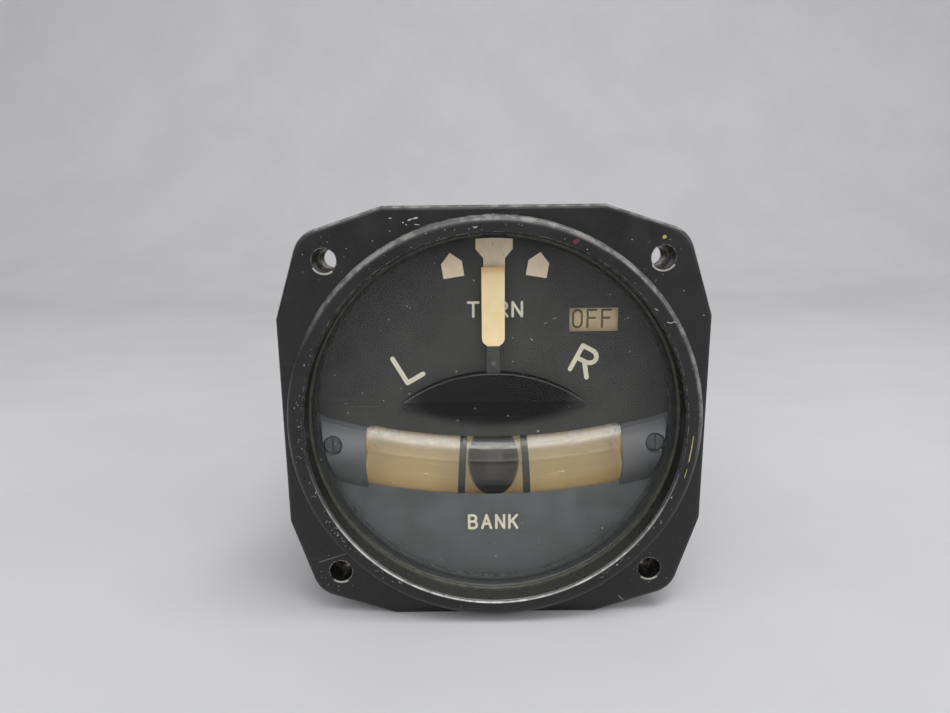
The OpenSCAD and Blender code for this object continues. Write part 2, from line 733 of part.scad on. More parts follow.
module bridge_screws() color([0.5, 0.5, 0.5]) translate([0, 0, pivot_z]) for (s = [-1, 1])
  translate([s * bridge_post_x, 0, 0]) difference() {
    union() {
      rod_y(bridge_head_r, bridge_y1, bridge_y1 + bridge_head_h);
      rod_y(bridge_screw_r, bridge_y0 - bridge_screw_in, bridge_y1 + bridge_head_h / 2);
    }
    translate([-2 * bridge_head_r, bridge_y1 + bridge_head_h / 2, -slot_w / 2])
      cube([4 * bridge_head_r, 2 * bridge_head_h, slot_w]);
  }

// Frame

module front_frame_plate() color([0.65, 0.66, 0.66]) difference() {
  slab(plate_y0, plate_t) difference() {
    circle(plate_r, $fn = 128);
    circle(pivot_r + bush_wall + fit);
    translate([0, pivot_z]) circle(staff_r + hub_wall + fit);
    for (s = [-1, 1]) {
      translate([s * post_x, post_z]) circle(tenon_r + fit);
      translate([s * bridge_post_x, pivot_z]) circle(tenon_r + fit);
      translate([s * front_hole_x, 0]) circle(front_hole_r);
    }
    for (sx = [-1, 1], sz = [-1, 1]) translate([sx * pillar_x, sz * pillar_x])
      circle(frame_screw_r + frame_hole_play);
  }
}

module rear_frame_plate() color([0.65, 0.66, 0.66]) slab(rear_y0, rear_plate_t) difference() {
  circle(plate_r, $fn = 128);
  circle(pivot_r + bush_wall + fit);
  for (s = [-1, 1]) {
    translate([s * rear_hole_x, 0]) circle(rear_hole_r);
    translate([stop_dist * s * sin(stop_deg), -stop_dist * cos(stop_deg)]) circle(stop_r + fit);
  }
  for (sx = [-1, 1], sz = [-1, 1]) translate([sx * pillar_x, sz * pillar_x])
    circle(frame_screw_r + frame_hole_play);
}

module frame_pillars() color([0.72, 0.72, 0.7]) four(pillar_x) difference() {
  rod_y(pillar_d / 2, plate_y1, rear_y0);
  rod_y(frame_screw_r + fit, plate_y1 - 1, plate_y1 + frame_screw_in + 1);
  rod_y(frame_screw_r + fit, rear_y0 - frame_screw_in - 1, rear_y0 + 1);
}

module front_frame_screws() color([0.5, 0.5, 0.5]) four(pillar_x) difference() {
  union() {
    rod_y(frame_head_r, plate_y0 - frame_head_h, plate_y0);
    rod_y(frame_screw_r, plate_y0 - frame_head_h / 2, plate_y1 + frame_screw_in);
  }
  translate([-2 * frame_head_r, plate_y0 - 1.5 * frame_head_h, -slot_w / 2])
    cube([4 * frame_head_r, frame_head_h, slot_w]);
}

module rear_spacers() color([0.7, 0.65, 0.45]) four(pillar_x)
  tube_y(spacer_r, frame_screw_r + frame_hole_play, rear_y1, case_in_y);

module rear_case_screws() color([0.45, 0.45, 0.45]) four(pillar_x) difference() {
  union() {
    rod_y(rear_head_r, case_y1, case_y1 + rear_head_h);
    rod_y(frame_screw_r, rear_y0 - frame_screw_in, case_y1 + rear_head_h / 2);
  }
  translate([-2 * rear_head_r, case_y1 + rear_head_h / 2, -slot_w / 2])
    cube([4 * rear_head_r, rear_head_h, slot_w]);
}

// Gimbal and gyro

module gimbal_frame() color([0.55, 0.56, 0.58]) difference() {
  translate([-gimbal_x, gimbal_y0, -gimbal_h / 2]) cube([2 * gimbal_x, gimbal_y1 - gimbal_y0, gimbal_h]);
  translate([-gimbal_in_x, gimbal_y0 + gimbal_end_t, -gimbal_h])
    cube([2 * gimbal_in_x, gimbal_y1 - gimbal_y0 - 2 * gimbal_end_t, 2 * gimbal_h]);
  translate([0, rotor_y, 0]) rod_x(race_out_r + fit, -gimbal_x - 1, gimbal_x + 1);
  rod_y(pivot_r + fit, gimbal_y0 - 1, gimbal_y1 + 1);
  for (s = [-1, 1]) translate([s * balance_x, 0, 0])
    rod_y(balance_screw_r + fit, gimbal_y1 - gimbal_end_t - 1, gimbal_y1 + 1);
}

module gimbal_pivots() color([0.75, 0.75, 0.75]) {
  rod_y(pivot_r, plate_y0 + 0.2, gimbal_y0 + gimbal_end_t);
  rod_y(pivot_r, gimbal_y1 - gimbal_end_t, rear_y1 - 0.2);
}

module gimbal_bearings() color([0.75, 0.6, 0.25]) {
  tube_y(pivot_r + bush_wall, pivot_r + run, plate_y0, plate_y1);
  tube_y(pivot_r + bush_wall, pivot_r + run, rear_y0, rear_y1);
}

module gimbal_sector_gear() color([0.8, 0.65, 0.3]) difference() {
  union() {
    rotate([0, 180, 0]) slab(gear_y0, gear_t) polygon(sector_pts(sector_teeth, gear_m, sector_half_deg, 0));
    rod_y(pivot_r + bush_wall + 0.2, gear_y0, gimbal_y0);
  }
  rod_y(pivot_r + fit, gear_y0 - 1, gimbal_y0 + 1);
}

module balance_weights() color([0.7, 0.6, 0.3]) for (s = [-1, 1]) translate([s * balance_x, 0, 0]) {
  rod_y(balance_r, gimbal_y1, gimbal_y1 + balance_len);
  rod_y(balance_screw_r, gimbal_y1 - gimbal_end_t + 0.5, gimbal_y1 + 0.5);
}

module gyro_rotor() color([0.6, 0.5, 0.3]) translate([0, rotor_y, 0]) turned_x()
  polygon([[shaft_r + fit, -rotor_w / 2], [rotor_r - rotor_ease, -rotor_w / 2],
    [rotor_r, -rotor_w / 2 + rotor_ease], [rotor_r, rotor_w / 2 - rotor_ease],
    [rotor_r - rotor_ease, rotor_w / 2], [cup_r, rotor_w / 2], [cup_r, -rotor_w / 2 + cup_wall],
    [rotor_hub_r, -rotor_w / 2 + cup_wall], [rotor_hub_r, -rotor_w / 2 + rotor_hub_len],
    [shaft_r + fit, -rotor_w / 2 + rotor_hub_len]]);

module rotor_shaft() color([0.78, 0.78, 0.78]) translate([0, rotor_y, 0])
  rod_x(shaft_r, -gimbal_x + 0.2, gimbal_x - 0.2);

module bearing_ring(r_out, r_in) for (s = [-1, 1]) translate([s * race_x, rotor_y, 0]) difference() {
  rod_x(r_out, -race_w / 2, race_w / 2);
  rod_x(r_in, -race_w, race_w);
}

module bearing_inner_races() color([0.7, 0.7, 0.72]) bearing_ring(shaft_r + race_t, shaft_r + fit);

module bearing_outer_races() color([0.66, 0.66, 0.7]) bearing_ring(race_out_r, race_out_r - race_t - 0.1);

module bearing_balls() color([0.8, 0.8, 0.82]) for (s = [-1, 1], a = [0 : 45 : 315])
  translate([s * race_x, rotor_y, 0]) rotate([a, 0, 0])
    translate([0, 0, (shaft_r + race_out_r) / 2 - 0.05]) sphere(ball_bearing_r, $fn = 24);

module stator_core() color([0.4, 0.4, 0.42]) translate([0, rotor_y, 0]) difference() {
  turned_x() polygon([[shaft_r + 0.5, stator_x0], [stator_r, stator_x0], [stator_r, stator_x1],
    [stator_neck_r, stator_x1], [stator_neck_r, stator_foot_x], [stator_foot_r, stator_foot_x],
    [stator_foot_r, gimbal_in_x], [shaft_r + 0.5, gimbal_in_x]]);
  for (a = [0 : 60 : 300]) rotate([a, 0, 0]) translate([stator_x0 - 1, -stator_slot_w / 2, stator_slot_r])
    cube([stator_x1 - stator_x0 + 2, stator_slot_w, stator_r - stator_slot_r + 1]);
}

// One end of the windings, from the face of the core at x0 outwards
module winding_end(x0, s) turned_x() polygon([[winding_r0, x0], [winding_r1, x0],
  [winding_r1, x0 + s * (winding_h - winding_ease)], [winding_r1 - winding_side, x0 + s * winding_h],
  [winding_r0 + winding_side, x0 + s * winding_h], [winding_r0, x0 + s * (winding_h - winding_ease)]]);

module stator_windings() color([0.7, 0.35, 0.15]) translate([0, rotor_y, 0]) {
  winding_end(stator_x0, -1);
  winding_end(stator_x1, 1);
}

// Damper, stops and spring

module damper_lever() color([0.6, 0.6, 0.62]) difference() {
  union() {
    slab(lever_y0, lever_t) {
      translate([-lever_w / 2, -spring_arm]) square([lever_w, spring_arm + damper_arm]);
      translate([0, damper_arm]) circle(lever_w / 2 + 0.2);
      translate([0, -spring_arm]) circle(lever_w / 2 + 0.2);
    }
    rod_y(pivot_r + 2.4, gimbal_y1, lever_y1);
    translate([0, 0, damper_arm]) rod_y(pin_r, lever_y1 - 0.5, damper_y + yoke_t / 2 + 0.8);
    translate([0, 0, -spring_arm]) rod_y(pin_r, lever_y1 - 0.5, damper_y + 1);
  }
  rod_y(pivot_r + fit, gimbal_y1 - 1, lever_y1 + 1);
}

module stop_pins() color([0.7, 0.7, 0.7]) for (s = [-1, 1])
  translate([stop_dist * s * sin(stop_deg), 0, -stop_dist * cos(stop_deg)])
    rod_y(stop_r, lever_y0 + 0.2, rear_y1);

module damper_cylinder() color([0.75, 0.62, 0.3]) translate([0, damper_y, damper_arm]) difference() {
  rod_x(damper_out_r, damper_x0, damper_x1);
  rod_x(damper_r, damper_x0 - 1, damper_x1 - damper_end_t);
  rod_x(vent_r, damper_x1 - 2 * damper_end_t, damper_x1 + 1);
}

module damper_bracket() color([0.6, 0.6, 0.6]) difference() {
  translate([clamp_x, clamp_y, damper_arm - clamp_h / 2]) cube([clamp_len, rear_y0 - clamp_y, clamp_h]);
  translate([0, damper_y, damper_arm]) rod_x(damper_out_r + fit, damper_x0 - 1, damper_x1 + 1);
}

module damper_piston() color([0.5, 0.5, 0.55]) translate([0, damper_y, damper_arm]) {
  rise = damper_arm * (1 - cos(tilt_max));
  difference() {
    translate([-yoke_w / 2, -yoke_t / 2, -rise - yoke_w / 2]) cube([yoke_w, yoke_t, rise + yoke_w]);
    translate([-pin_r - pin_play, -yoke_t, -rise - yoke_w / 2 + yoke_rim])
      cube([2 * (pin_r + pin_play), 2 * yoke_t, rise + yoke_w - 2 * yoke_rim]);
  }
  rod_x(rod_r, yoke_w / 2 - 0.4, head_x0 + 0.5);
  rod_x(damper_r - 0.1, head_x0, head_x1);
}

module centring_spring() color([0.7, 0.7, 0.72]) translate([0, damper_y, 0]) {
  z1 = -spring_arm - hook_len;
  z0 = spring_low + low_hook_len;
  steps = 12;
  sides = 6;
  n = spring_curls * steps;
  pts = [for (i = [0 : n]) let (a = 360 * i / steps, k = min(1, min(i, n - i) / steps),
      r = coil_end_r + (coil_r - coil_end_r) * k, z = z0 + (z1 - z0) * i / n)
    for (j = [0 : sides - 1]) let (b = 360 * j / sides)
      [(r + spring_wire * cos(b)) * cos(a), (r + spring_wire * cos(b)) * sin(a), z + spring_wire * sin(b)]];
  polyhedron(points = pts, faces = concat([[for (j = [sides - 1 : -1 : 0]) j]],
    [for (i = [0 : n - 1], j = [0 : sides - 1]) let (q = (j + 1) % sides)
      [i * sides + j, i * sides + q, (i + 1) * sides + q, (i + 1) * sides + j]],
    [[for (j = [0 : sides - 1]) n * sides + j]]));
  translate([0, 0, z1 - 0.2]) cylinder(r = link_r, h = -spring_arm - hook_r + 0.05 - z1 + 0.2, $fn = 16);
  translate([0, 0, spring_low + low_hook_r - 0.05])
    cylinder(r = link_r, h = z0 - spring_low - low_hook_r + 0.25, $fn = 16);
  translate([0, 0, -spring_arm]) rotate([90, 0, 0]) rotate_extrude($fn = 32) translate([hook_r, 0])
    circle(spring_wire, $fn = 16);
  translate([0, 0, spring_low]) rotate([90, 0, 0]) rotate_extrude($fn = 32) translate([low_hook_r, 0])
    circle(spring_wire, $fn = 16);
}

module spring_bracket() color([0.6, 0.6, 0.6]) difference() {
  translate([-shelf_w / 2, damper_y - shelf_t, shelf_z])
    cube([shelf_w, rear_y0 - damper_y + shelf_t, shelf_t]);
  translate([0, adjust_y, shelf_z - 1]) cylinder(r = adjust_r + fit, h = shelf_t + 2);
}

module spring_adjuster() color([0.75, 0.62, 0.3]) {
  translate([0, adjust_y, adjust_low]) cylinder(r = adjust_r, h = adjust_len);
  translate([0, adjust_y, shelf_z - lock_nut_h]) cylinder(r = lock_nut_r, h = lock_nut_h, $fn = 6);
  translate([-adjust_r, damper_y + 0.5, adjust_low + adjust_len - 0.6])
    cube([2 * adjust_r, lock_nut_h, spring_low + 1 - adjust_low - adjust_len + 0.6]);
  translate([0, 0, spring_low]) rod_y(adjust_eye_r, damper_y - adjust_eye_r, damper_y + 1);
}

// Power flag

module off_flag() color([0.85, 0.72, 0.5]) difference() {
  union() {
    translate([flag_x0, flag_y0, flag_axis_z - flag_over])
      cube([flag_x1 - flag_x0, flag_t, flag_z + flag_h / 2 - flag_axis_z + 2 * flag_over]);
    for (x = [flag_x0 + lug_in, flag_x1 - lug_in - lug_t]) {
      translate([x, flag_y0, flag_axis_z - flag_over]) cube([lug_t, flag_axis_y - flag_y0, 2 * flag_over]);
      translate([0, flag_axis_y, flag_axis_z]) rod_x(arbor_r + lug_wall, x, x + lug_t);
    }
  }
  translate([0, flag_axis_y, flag_axis_z]) rod_x(arbor_r + fit, flag_x0 - 1, flag_x1 + 1);
}

module flag_arbor() color([0.75, 0.75, 0.75]) translate([0, flag_axis_y, flag_axis_z])
  rod_x(arbor_r, ear_in_0 - ear_t - arbor_in, ear_in_1 + ear_t + 0.4);

module flag_bracket() color([0.6, 0.6, 0.62]) difference() {
  union() {
    for (x = [ear_in_0 - ear_t, ear_in_1])
      translate([x, flag_axis_y - ear_front, flag_axis_z - ear_h / 2])
        cube([ear_t, plate_y0 - flag_axis_y + ear_front, ear_h]);
    translate([ear_in_0 - ear_t, plate_y0 - foot_t, flag_axis_z - ear_h / 2])
      cube([ear_in_1 - ear_in_0 + 2 * ear_t, foot_t, ear_h]);
  }
  translate([0, flag_axis_y, flag_axis_z]) rod_x(arbor_r + run, ear_in_0 - 2 * ear_t, ear_in_1 + 2 * ear_t);
}

module flag_actuator() color([0.3, 0.3, 0.32]) translate([0, flag_axis_y, flag_axis_z]) difference() {
  rod_x(coil_can_r, ear_in_0 - ear_t - coil_can_len, ear_in_0 - ear_t);
  rod_x(arbor_r + run, ear_in_0 - ear_t - arbor_in - 1, ear_in_0 + 1);
}

// Case and connector

module case_body() color([0.13, 0.13, 0.14]) difference() {
  turned() polygon(concat([[0, case_in_y], [case_in_r, case_in_y], [case_in_r, case_y0], [case_r, case_y0]],
    arc_pts([case_r - case_round, case_y1 - case_round], case_round, 0, 90, 4), [[0, case_y1]]));
  four(pillar_x) rod_y(frame_screw_r + frame_hole_play, case_in_y - 1, case_y1 + 1);
  translate([0, 0, plug_z]) {
    rod_y(plug_r - plug_step + fit, case_in_y - 1, case_y1 + 1);
    four(plug_hole) rod_y(plug_screw_r + fit, case_in_y - 1, case_y1 + 1);
  }
  for (a = [0 : 90 : 270]) rotate([0, a, 0]) translate([0, case_y0 + case_screw_in, 0])
    rod_x(case_screw_r + 0.1, case_in_r - 2, case_r + 2);
}

module case_gasket() color([0.2, 0.2, 0.2]) tube_y(case_r - 0.2, collar_r + run, flange_t, case_y0);

module case_screws() color([0.45, 0.45, 0.45]) for (a = [0 : 90 : 270]) rotate([0, a, 0])
  translate([0, case_y0 + case_screw_in, 0]) difference() {
    union() {
      rod_x(case_head_r, case_r, case_r + case_head_h);
      rod_x(case_screw_r - fit, collar_in_r + 0.1, case_r + case_head_h / 2);
    }
    translate([case_r + case_head_h / 2, -slot_w / 2, -2 * case_head_r])
      cube([2 * case_head_h, slot_w, 4 * case_head_r]);
  }

module connector_shell() color([0.5, 0.5, 0.46]) translate([0, 0, plug_z]) difference() {
  union() {
    slab(case_y1, plug_flange_t) square([plug_flange_w, plug_flange_w], center = true);
    rod_y(plug_r, case_y1, plug_y1);
    rod_y(plug_r - plug_step, case_in_y - 1, case_y1 + 0.5);
  }
  rod_y(plug_r - plug_wall, case_in_y - 2, plug_y1 + 1);
  four(plug_hole) rod_y(plug_screw_r + 0.1, case_y1 - 1, case_y1 + plug_flange_t + 1);
}

module connector_insert() color([0.25, 0.2, 0.16]) translate([0, 0, plug_z]) difference() {
  rod_y(plug_r - plug_wall - fit, case_in_y - 2, plug_y1 - insert_back);
  for (a = [90, 210, 330]) translate([pin_circle_r * cos(a), 0, pin_circle_r * sin(a)])
    rod_y(contact_r + fit, case_in_y - 3, plug_y1);
}

module connector_pins() color([0.8, 0.7, 0.4]) translate([0, 0, plug_z]) for (a = [90, 210, 330])
  translate([pin_circle_r * cos(a), 0, pin_circle_r * sin(a)])
  rod_y(contact_r, case_in_y - 4, plug_y1 - contact_back);

module connector_screws() color([0.45, 0.45, 0.45]) translate([0, 0, plug_z]) four(plug_hole) difference() {
  union() {
    rod_y(plug_head_r, case_y1 + plug_flange_t, case_y1 + plug_flange_t + plug_head_h);
    rod_y(plug_screw_r, case_in_y - 1.5, case_y1 + plug_flange_t + plug_head_h / 2);
  }
  translate([-2 * plug_head_r, case_y1 + plug_flange_t + plug_head_h / 2, -slot_w / 2])
    cube([4 * plug_head_r, plug_head_h, slot_w]);
}

bezel_flange();
mounting_nuts();
cover_glass();
glass_gasket();
glass_snap_ring();
dial_plate();
inclinometer_mask();
dial_screws();
dial_posts();
inclinometer_tube();
tube_end_plugs();
slip_ball();
centre_bands();
tube_cradle();
turn_pointer();
pointer_staff();
pointer_pinion();
pointer_counterweight();
pointer_bearings();
pointer_bridge();
bridge_posts();
bridge_screws();
front_frame_plate();
rear_frame_plate();
frame_pillars();
front_frame_screws();
rear_spacers();
rear_case_screws();
gimbal_frame();
gimbal_pivots();
gimbal_bearings();
gimbal_sector_gear();
balance_weights();
gyro_rotor();
rotor_shaft();
bearing_inner_races();
bearing_outer_races();
bearing_balls();
stator_core();
stator_windings();
damper_lever();
stop_pins();
damper_cylinder();
damper_bracket();
damper_piston();
centring_spring();
spring_bracket();
spring_adjuster();
off_flag();
flag_arbor();
flag_bracket();
flag_actuator();
case_body();
case_gasket();
case_screws();
connector_shell();
connector_insert();
connector_pins();
connector_screws();
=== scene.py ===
"""Looks of an aircraft turn and slip indicator: finishes, dial print, wear and light around the frame."""
import json
import math
import random

import bpy
from mathutils import Matrix, Vector


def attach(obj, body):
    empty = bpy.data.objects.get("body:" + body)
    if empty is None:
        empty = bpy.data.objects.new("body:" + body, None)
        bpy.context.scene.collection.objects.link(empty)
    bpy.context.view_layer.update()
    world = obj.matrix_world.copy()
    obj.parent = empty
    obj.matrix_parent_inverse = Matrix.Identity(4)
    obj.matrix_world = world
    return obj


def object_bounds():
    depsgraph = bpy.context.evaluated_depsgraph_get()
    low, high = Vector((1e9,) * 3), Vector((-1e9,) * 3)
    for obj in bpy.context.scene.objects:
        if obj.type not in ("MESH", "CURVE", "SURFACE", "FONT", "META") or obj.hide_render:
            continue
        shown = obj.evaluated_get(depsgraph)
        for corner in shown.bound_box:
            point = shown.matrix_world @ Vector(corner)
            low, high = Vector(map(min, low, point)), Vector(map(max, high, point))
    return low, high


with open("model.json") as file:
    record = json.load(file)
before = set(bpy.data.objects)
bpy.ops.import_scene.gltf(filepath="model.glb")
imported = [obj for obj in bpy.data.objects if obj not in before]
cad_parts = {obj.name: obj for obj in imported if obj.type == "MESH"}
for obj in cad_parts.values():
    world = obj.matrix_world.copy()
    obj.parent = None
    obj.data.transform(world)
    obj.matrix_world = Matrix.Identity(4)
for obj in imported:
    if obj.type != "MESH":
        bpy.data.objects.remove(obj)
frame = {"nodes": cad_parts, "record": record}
cad_low, cad_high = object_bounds()

# Sizes in millimetres, repeated from the part's source
MM = 0.001
FLANGE_Y = 0.0
RING_Y = -4.0
RING_R = 39.5
BORE_R = 36.1
FLANGE_HALF = 41.25
HOLE_X = 31.435
GLASS_Y = 1.13
GLASS_BACK_Y = 3.6
MASK_Y = 5.98
DIAL_Y = 6.78
PIVOT_Z = -22.0
BLADE_FOOT_Z = 14.1
ARCH_R = 30.8
ARCH_HALF = 18.0
HOOD_Y = 4.28
POINTER_Y = 5.08
FLAG_Y = 8.68
FLAG_X = 20.0
FLAG_Z = 18.9
TUBE_Y = 11.98
TUBE_R = 7.6
TUBE_IN_R = 5.65
TUBE_ARC_R = 122.0
TUBE_ARC_Z = 110.15
TUBE_HALF_DEG = 13.2
PLUG_DEG = 0.9
CONNECTOR_Z = -13.0
CONNECTOR_R = 7.9
CONNECTOR_Y0 = 106.98
CONNECTOR_Y1 = 118.98

# The flange's sloped edges lie where SLOPE_X * |x| + SLOPE_Z * |z| is SLOPE_D
SLOPE_X = 0.306
SLOPE_Z = 0.952
SLOPE_D = 45.5

# Grain that is the same in all directions
EVEN = (1, 1, 1)

# Camera found from the four mounting holes in the photograph
CAMERA_AT = (-3.566, -123.021, 38.928)
CAMERA_YAW = 0.0006
CAMERA_PITCH = -0.2072
CAMERA_ROLL = 0.0104
FOCAL_PX = 660.0
IMAGE_W = 950


# Node helpers

def linear(code):
    """Hex colour as linear RGBA."""
    parts = [int(code[i:i + 2], 16) / 255 for i in (1, 3, 5)]
    return tuple(c / 12.92 if c <= 0.04045 else ((c + 0.055) / 1.055) ** 2.4 for c in parts) + (1.0,)


def feed(tree, plug, value):
    """Link another node's output to an input, or set the input to a plain value."""
    if isinstance(value, bpy.types.NodeSocket):
        tree.links.new(value, plug)
    else:
        plug.default_value = value


def add_node(tree, kind, at=(0, 0), inputs=None, **settings):
    """A shader node with its settings, and its inputs linked or set."""
    node = tree.nodes.new(kind)
    node.location = at
    for key, value in settings.items():
        setattr(node, key, value)
    for key, value in (inputs or {}).items():
        feed(tree, node.inputs[key], value)
    return node


def maths(tree, kind, a, b, at=(0, 0), clamp=False):
    """One step of arithmetic on values or sockets."""
    node = add_node(tree, "ShaderNodeMath", at, operation=kind, use_clamp=clamp)
    for plug, value in zip(node.inputs, (a, b)):
        feed(tree, plug, value)
    return node.outputs[0]


def ramp(tree, value, low, high, to_low=0.0, to_high=1.0, at=(0, 0), smooth=True):
    """A value between low and high, mapped to another range and held at its ends."""
    node = add_node(tree, "ShaderNodeMapRange", at, clamp=True)
    node.interpolation_type = "SMOOTHSTEP" if smooth else "LINEAR"
    for key, v in (("Value", value), ("From Min", low), ("From Max", high), ("To Min", to_low),
                   ("To Max", to_high)):
        feed(tree, node.inputs[key], v)
    return node.outputs["Result"]


def blend_colour(tree, mask, a, b, at=(0, 0), kind="MIX"):
    """Colour a where the mask is 0 and b where it is 1."""
    node = add_node(tree, "ShaderNodeMix", at, data_type="RGBA", blend_type=kind, clamp_factor=True)
    for index, value in ((0, mask), (6, a), (7, b)):
        feed(tree, node.inputs[index], value)
    return node.outputs[2]


def new_group(name, inputs, outputs):
    """An empty shader group with its sockets."""
    tree = bpy.data.node_groups.new(name, "ShaderNodeTree")
    for label, kind, value in inputs:
        plug = tree.interface.new_socket(label, in_out="INPUT", socket_type=kind)
        if value is not None:
            plug.default_value = value
    for label, kind in outputs:
        tree.interface.new_socket(label, in_out="OUTPUT", socket_type=kind)
    start = tree.nodes.new("NodeGroupInput")
    end = tree.nodes.new("NodeGroupOutput")
    start.location = (-800, 0)
    end.location = (800, 0)
    return tree, start.outputs, end.inputs


# Shared effects

def make_mottle():
    """Soft uneven patches, as of handling, fading and old paint."""
    tree, start, end = new_group(
        "mottle",
        [("Vector", "NodeSocketVector", None), ("Scale", "NodeSocketFloat", 0.3),
         ("Detail", "NodeSocketFloat", 5.0)],
        [("Value", "NodeSocketFloat")])
    noise = add_node(tree, "ShaderNodeTexNoise", (-500, 0),
                     {"Vector": start["Vector"], "Scale": start["Scale"], "Detail": start["Detail"],
                      "Roughness": 0.6})
    tree.links.new(ramp(tree, noise.outputs["Fac"], 0.34, 0.66, at=(-200, 0)), end["Value"])
    return tree


def make_specks():
    """Separate small dots: dust, lint crumbs, paint chips."""
    tree, start, end = new_group(
        "specks",
        [("Vector", "NodeSocketVector", None), ("Scale", "NodeSocketFloat", 1.0),
         ("Size", "NodeSocketFloat", 0.2), ("Cover", "NodeSocketFloat", 0.1)],
        [("Mask", "NodeSocketFloat")])
    warp = add_node(tree, "ShaderNodeTexNoise", (-760, -260),
                    {"Vector": start["Vector"], "Scale": 2.5, "Detail": 2.0})
    shift = add_node(tree, "ShaderNodeVectorMath", (-600, -120), operation="MULTIPLY_ADD")
    tree.links.new(warp.outputs["Color"], shift.inputs[0])
    shift.inputs[1].default_value = (0.5, 0.5, 0.5)
    tree.links.new(start["Vector"], shift.inputs[2])
    cells = add_node(tree, "ShaderNodeTexVoronoi", (-420, 0),
                     {"Vector": shift.outputs[0], "Scale": start["Scale"], "Randomness": 1.0})
    parts = add_node(tree, "ShaderNodeSeparateColor", (-220, -160), {"Color": cells.outputs["Color"]})
    chosen = maths(tree, "LESS_THAN", parts.outputs["Red"], start["Cover"], (0, -160))
    reach = maths(tree, "MULTIPLY", start["Size"], parts.outputs["Green"], (0, -320))
    inside = maths(tree, "SUBTRACT", reach, cells.outputs["Distance"], (150, 0))
    dot = ramp(tree, inside, 0.0, 0.06, at=(320, 0))
    tree.links.new(maths(tree, "MULTIPLY", dot, chosen, (520, 0)), end["Mask"])
    return tree


def make_streaks():
    """Fine long scratches in two directions, broken up by a slow noise."""
    tree, start, end = new_group(
        "streaks",
        [("Vector", "NodeSocketVector", None), ("Scale", "NodeSocketFloat", 1.0),
         ("Amount", "NodeSocketFloat", 0.5)],
        [("Mask", "NodeSocketFloat")])
    lines = []
    for turn, y in ((0.5, 200), (-0.9, -100)):
        place = add_node(tree, "ShaderNodeMapping", (-620, y), {"Vector": start["Vector"]})
        place.inputs["Rotation"].default_value = (0.0, turn, 0.0)
        place.inputs["Scale"].default_value = (0.06, 0.4, 2.4)
        noise = add_node(tree, "ShaderNodeTexNoise", (-420, y),
                         {"Vector": place.outputs[0], "Scale": start["Scale"], "Detail": 3.0})
        lines.append(ramp(tree, noise.outputs["Fac"], 0.66, 0.74, at=(-200, y)))
    both = maths(tree, "MAXIMUM", lines[0], lines[1], (0, 60))
    patch = add_node(tree, "ShaderNodeTexNoise", (-420, -380),
                     {"Vector": start["Vector"], "Scale": 0.09, "Detail": 2.0})
    where = ramp(tree, patch.outputs["Fac"], 0.4, 0.62, at=(-200, -380))
    some = maths(tree, "MULTIPLY", both, where, (180, 0))
    tree.links.new(maths(tree, "MULTIPLY", some, start["Amount"], (360, 0)), end["Mask"])
    return tree


def make_rub():
    """Bright worn edges: where a rounded normal departs from the face, broken up by noise."""
    tree, start, end = new_group(
        "edge_rub",
        [("Vector", "NodeSocketVector", None), ("Width", "NodeSocketFloat", 0.0004),
         ("Amount", "NodeSocketFloat", 0.5), ("Scale", "NodeSocketFloat", 0.8)],
        [("Mask", "NodeSocketFloat")])
    soft = add_node(tree, "ShaderNodeBevel", (-600, 200), {"Radius": start["Width"]}, samples=6)
    flat = add_node(tree, "ShaderNodeNewGeometry", (-600, 0))
    dot = add_node(tree, "ShaderNodeVectorMath", (-400, 120), operation="DOT_PRODUCT")
    tree.links.new(soft.outputs[0], dot.inputs[0])
    tree.links.new(flat.outputs["Normal"], dot.inputs[1])
    bend = maths(tree, "SUBTRACT", 1.0, dot.outputs["Value"], (-220, 120))
    edge = ramp(tree, bend, 0.02, 0.2, at=(-40, 120))
    noise = add_node(tree, "ShaderNodeTexNoise", (-600, -240),
                     {"Vector": start["Vector"], "Scale": start["Scale"], "Detail": 6.0, "Roughness": 0.65})
    limit = maths(tree, "SUBTRACT", 1.0, start["Amount"], (-400, -400))
    top = maths(tree, "ADD", limit, 0.16, (-220, -400))
    broken = ramp(tree, noise.outputs["Fac"], limit, top, at=(-40, -240))
    tree.links.new(maths(tree, "MULTIPLY", edge, broken, (220, 0)), end["Mask"])
    return tree


MOTTLE = make_mottle()
SPECKS = make_specks()
STREAKS = make_streaks()
RUB = make_rub()


def place_group(tree, group, at, **values):
    """A shared effect in a material, as its one output."""
    node = tree.nodes.new("ShaderNodeGroup")
    node.node_tree = group
    node.location = at
    for key, value in values.items():
        feed(tree, node.inputs[key], value)
    return node.outputs[0]


def start_material(name):
    """An empty material with a Principled shader, and object coordinates in millimetres."""
    mat = bpy.data.materials.new(name)
    mat.use_nodes = True
    tree = mat.node_tree
    shader = tree.nodes["Principled BSDF"]
    coords = add_node(tree, "ShaderNodeTexCoord", (-1600, 0))
    scale = add_node(tree, "ShaderNodeVectorMath", (-1400, 0), operation="SCALE")
    tree.links.new(coords.outputs["Object"], scale.inputs[0])
    scale.inputs["Scale"].default_value = 1.0 / MM
    return mat, tree, shader, scale.outputs[0]


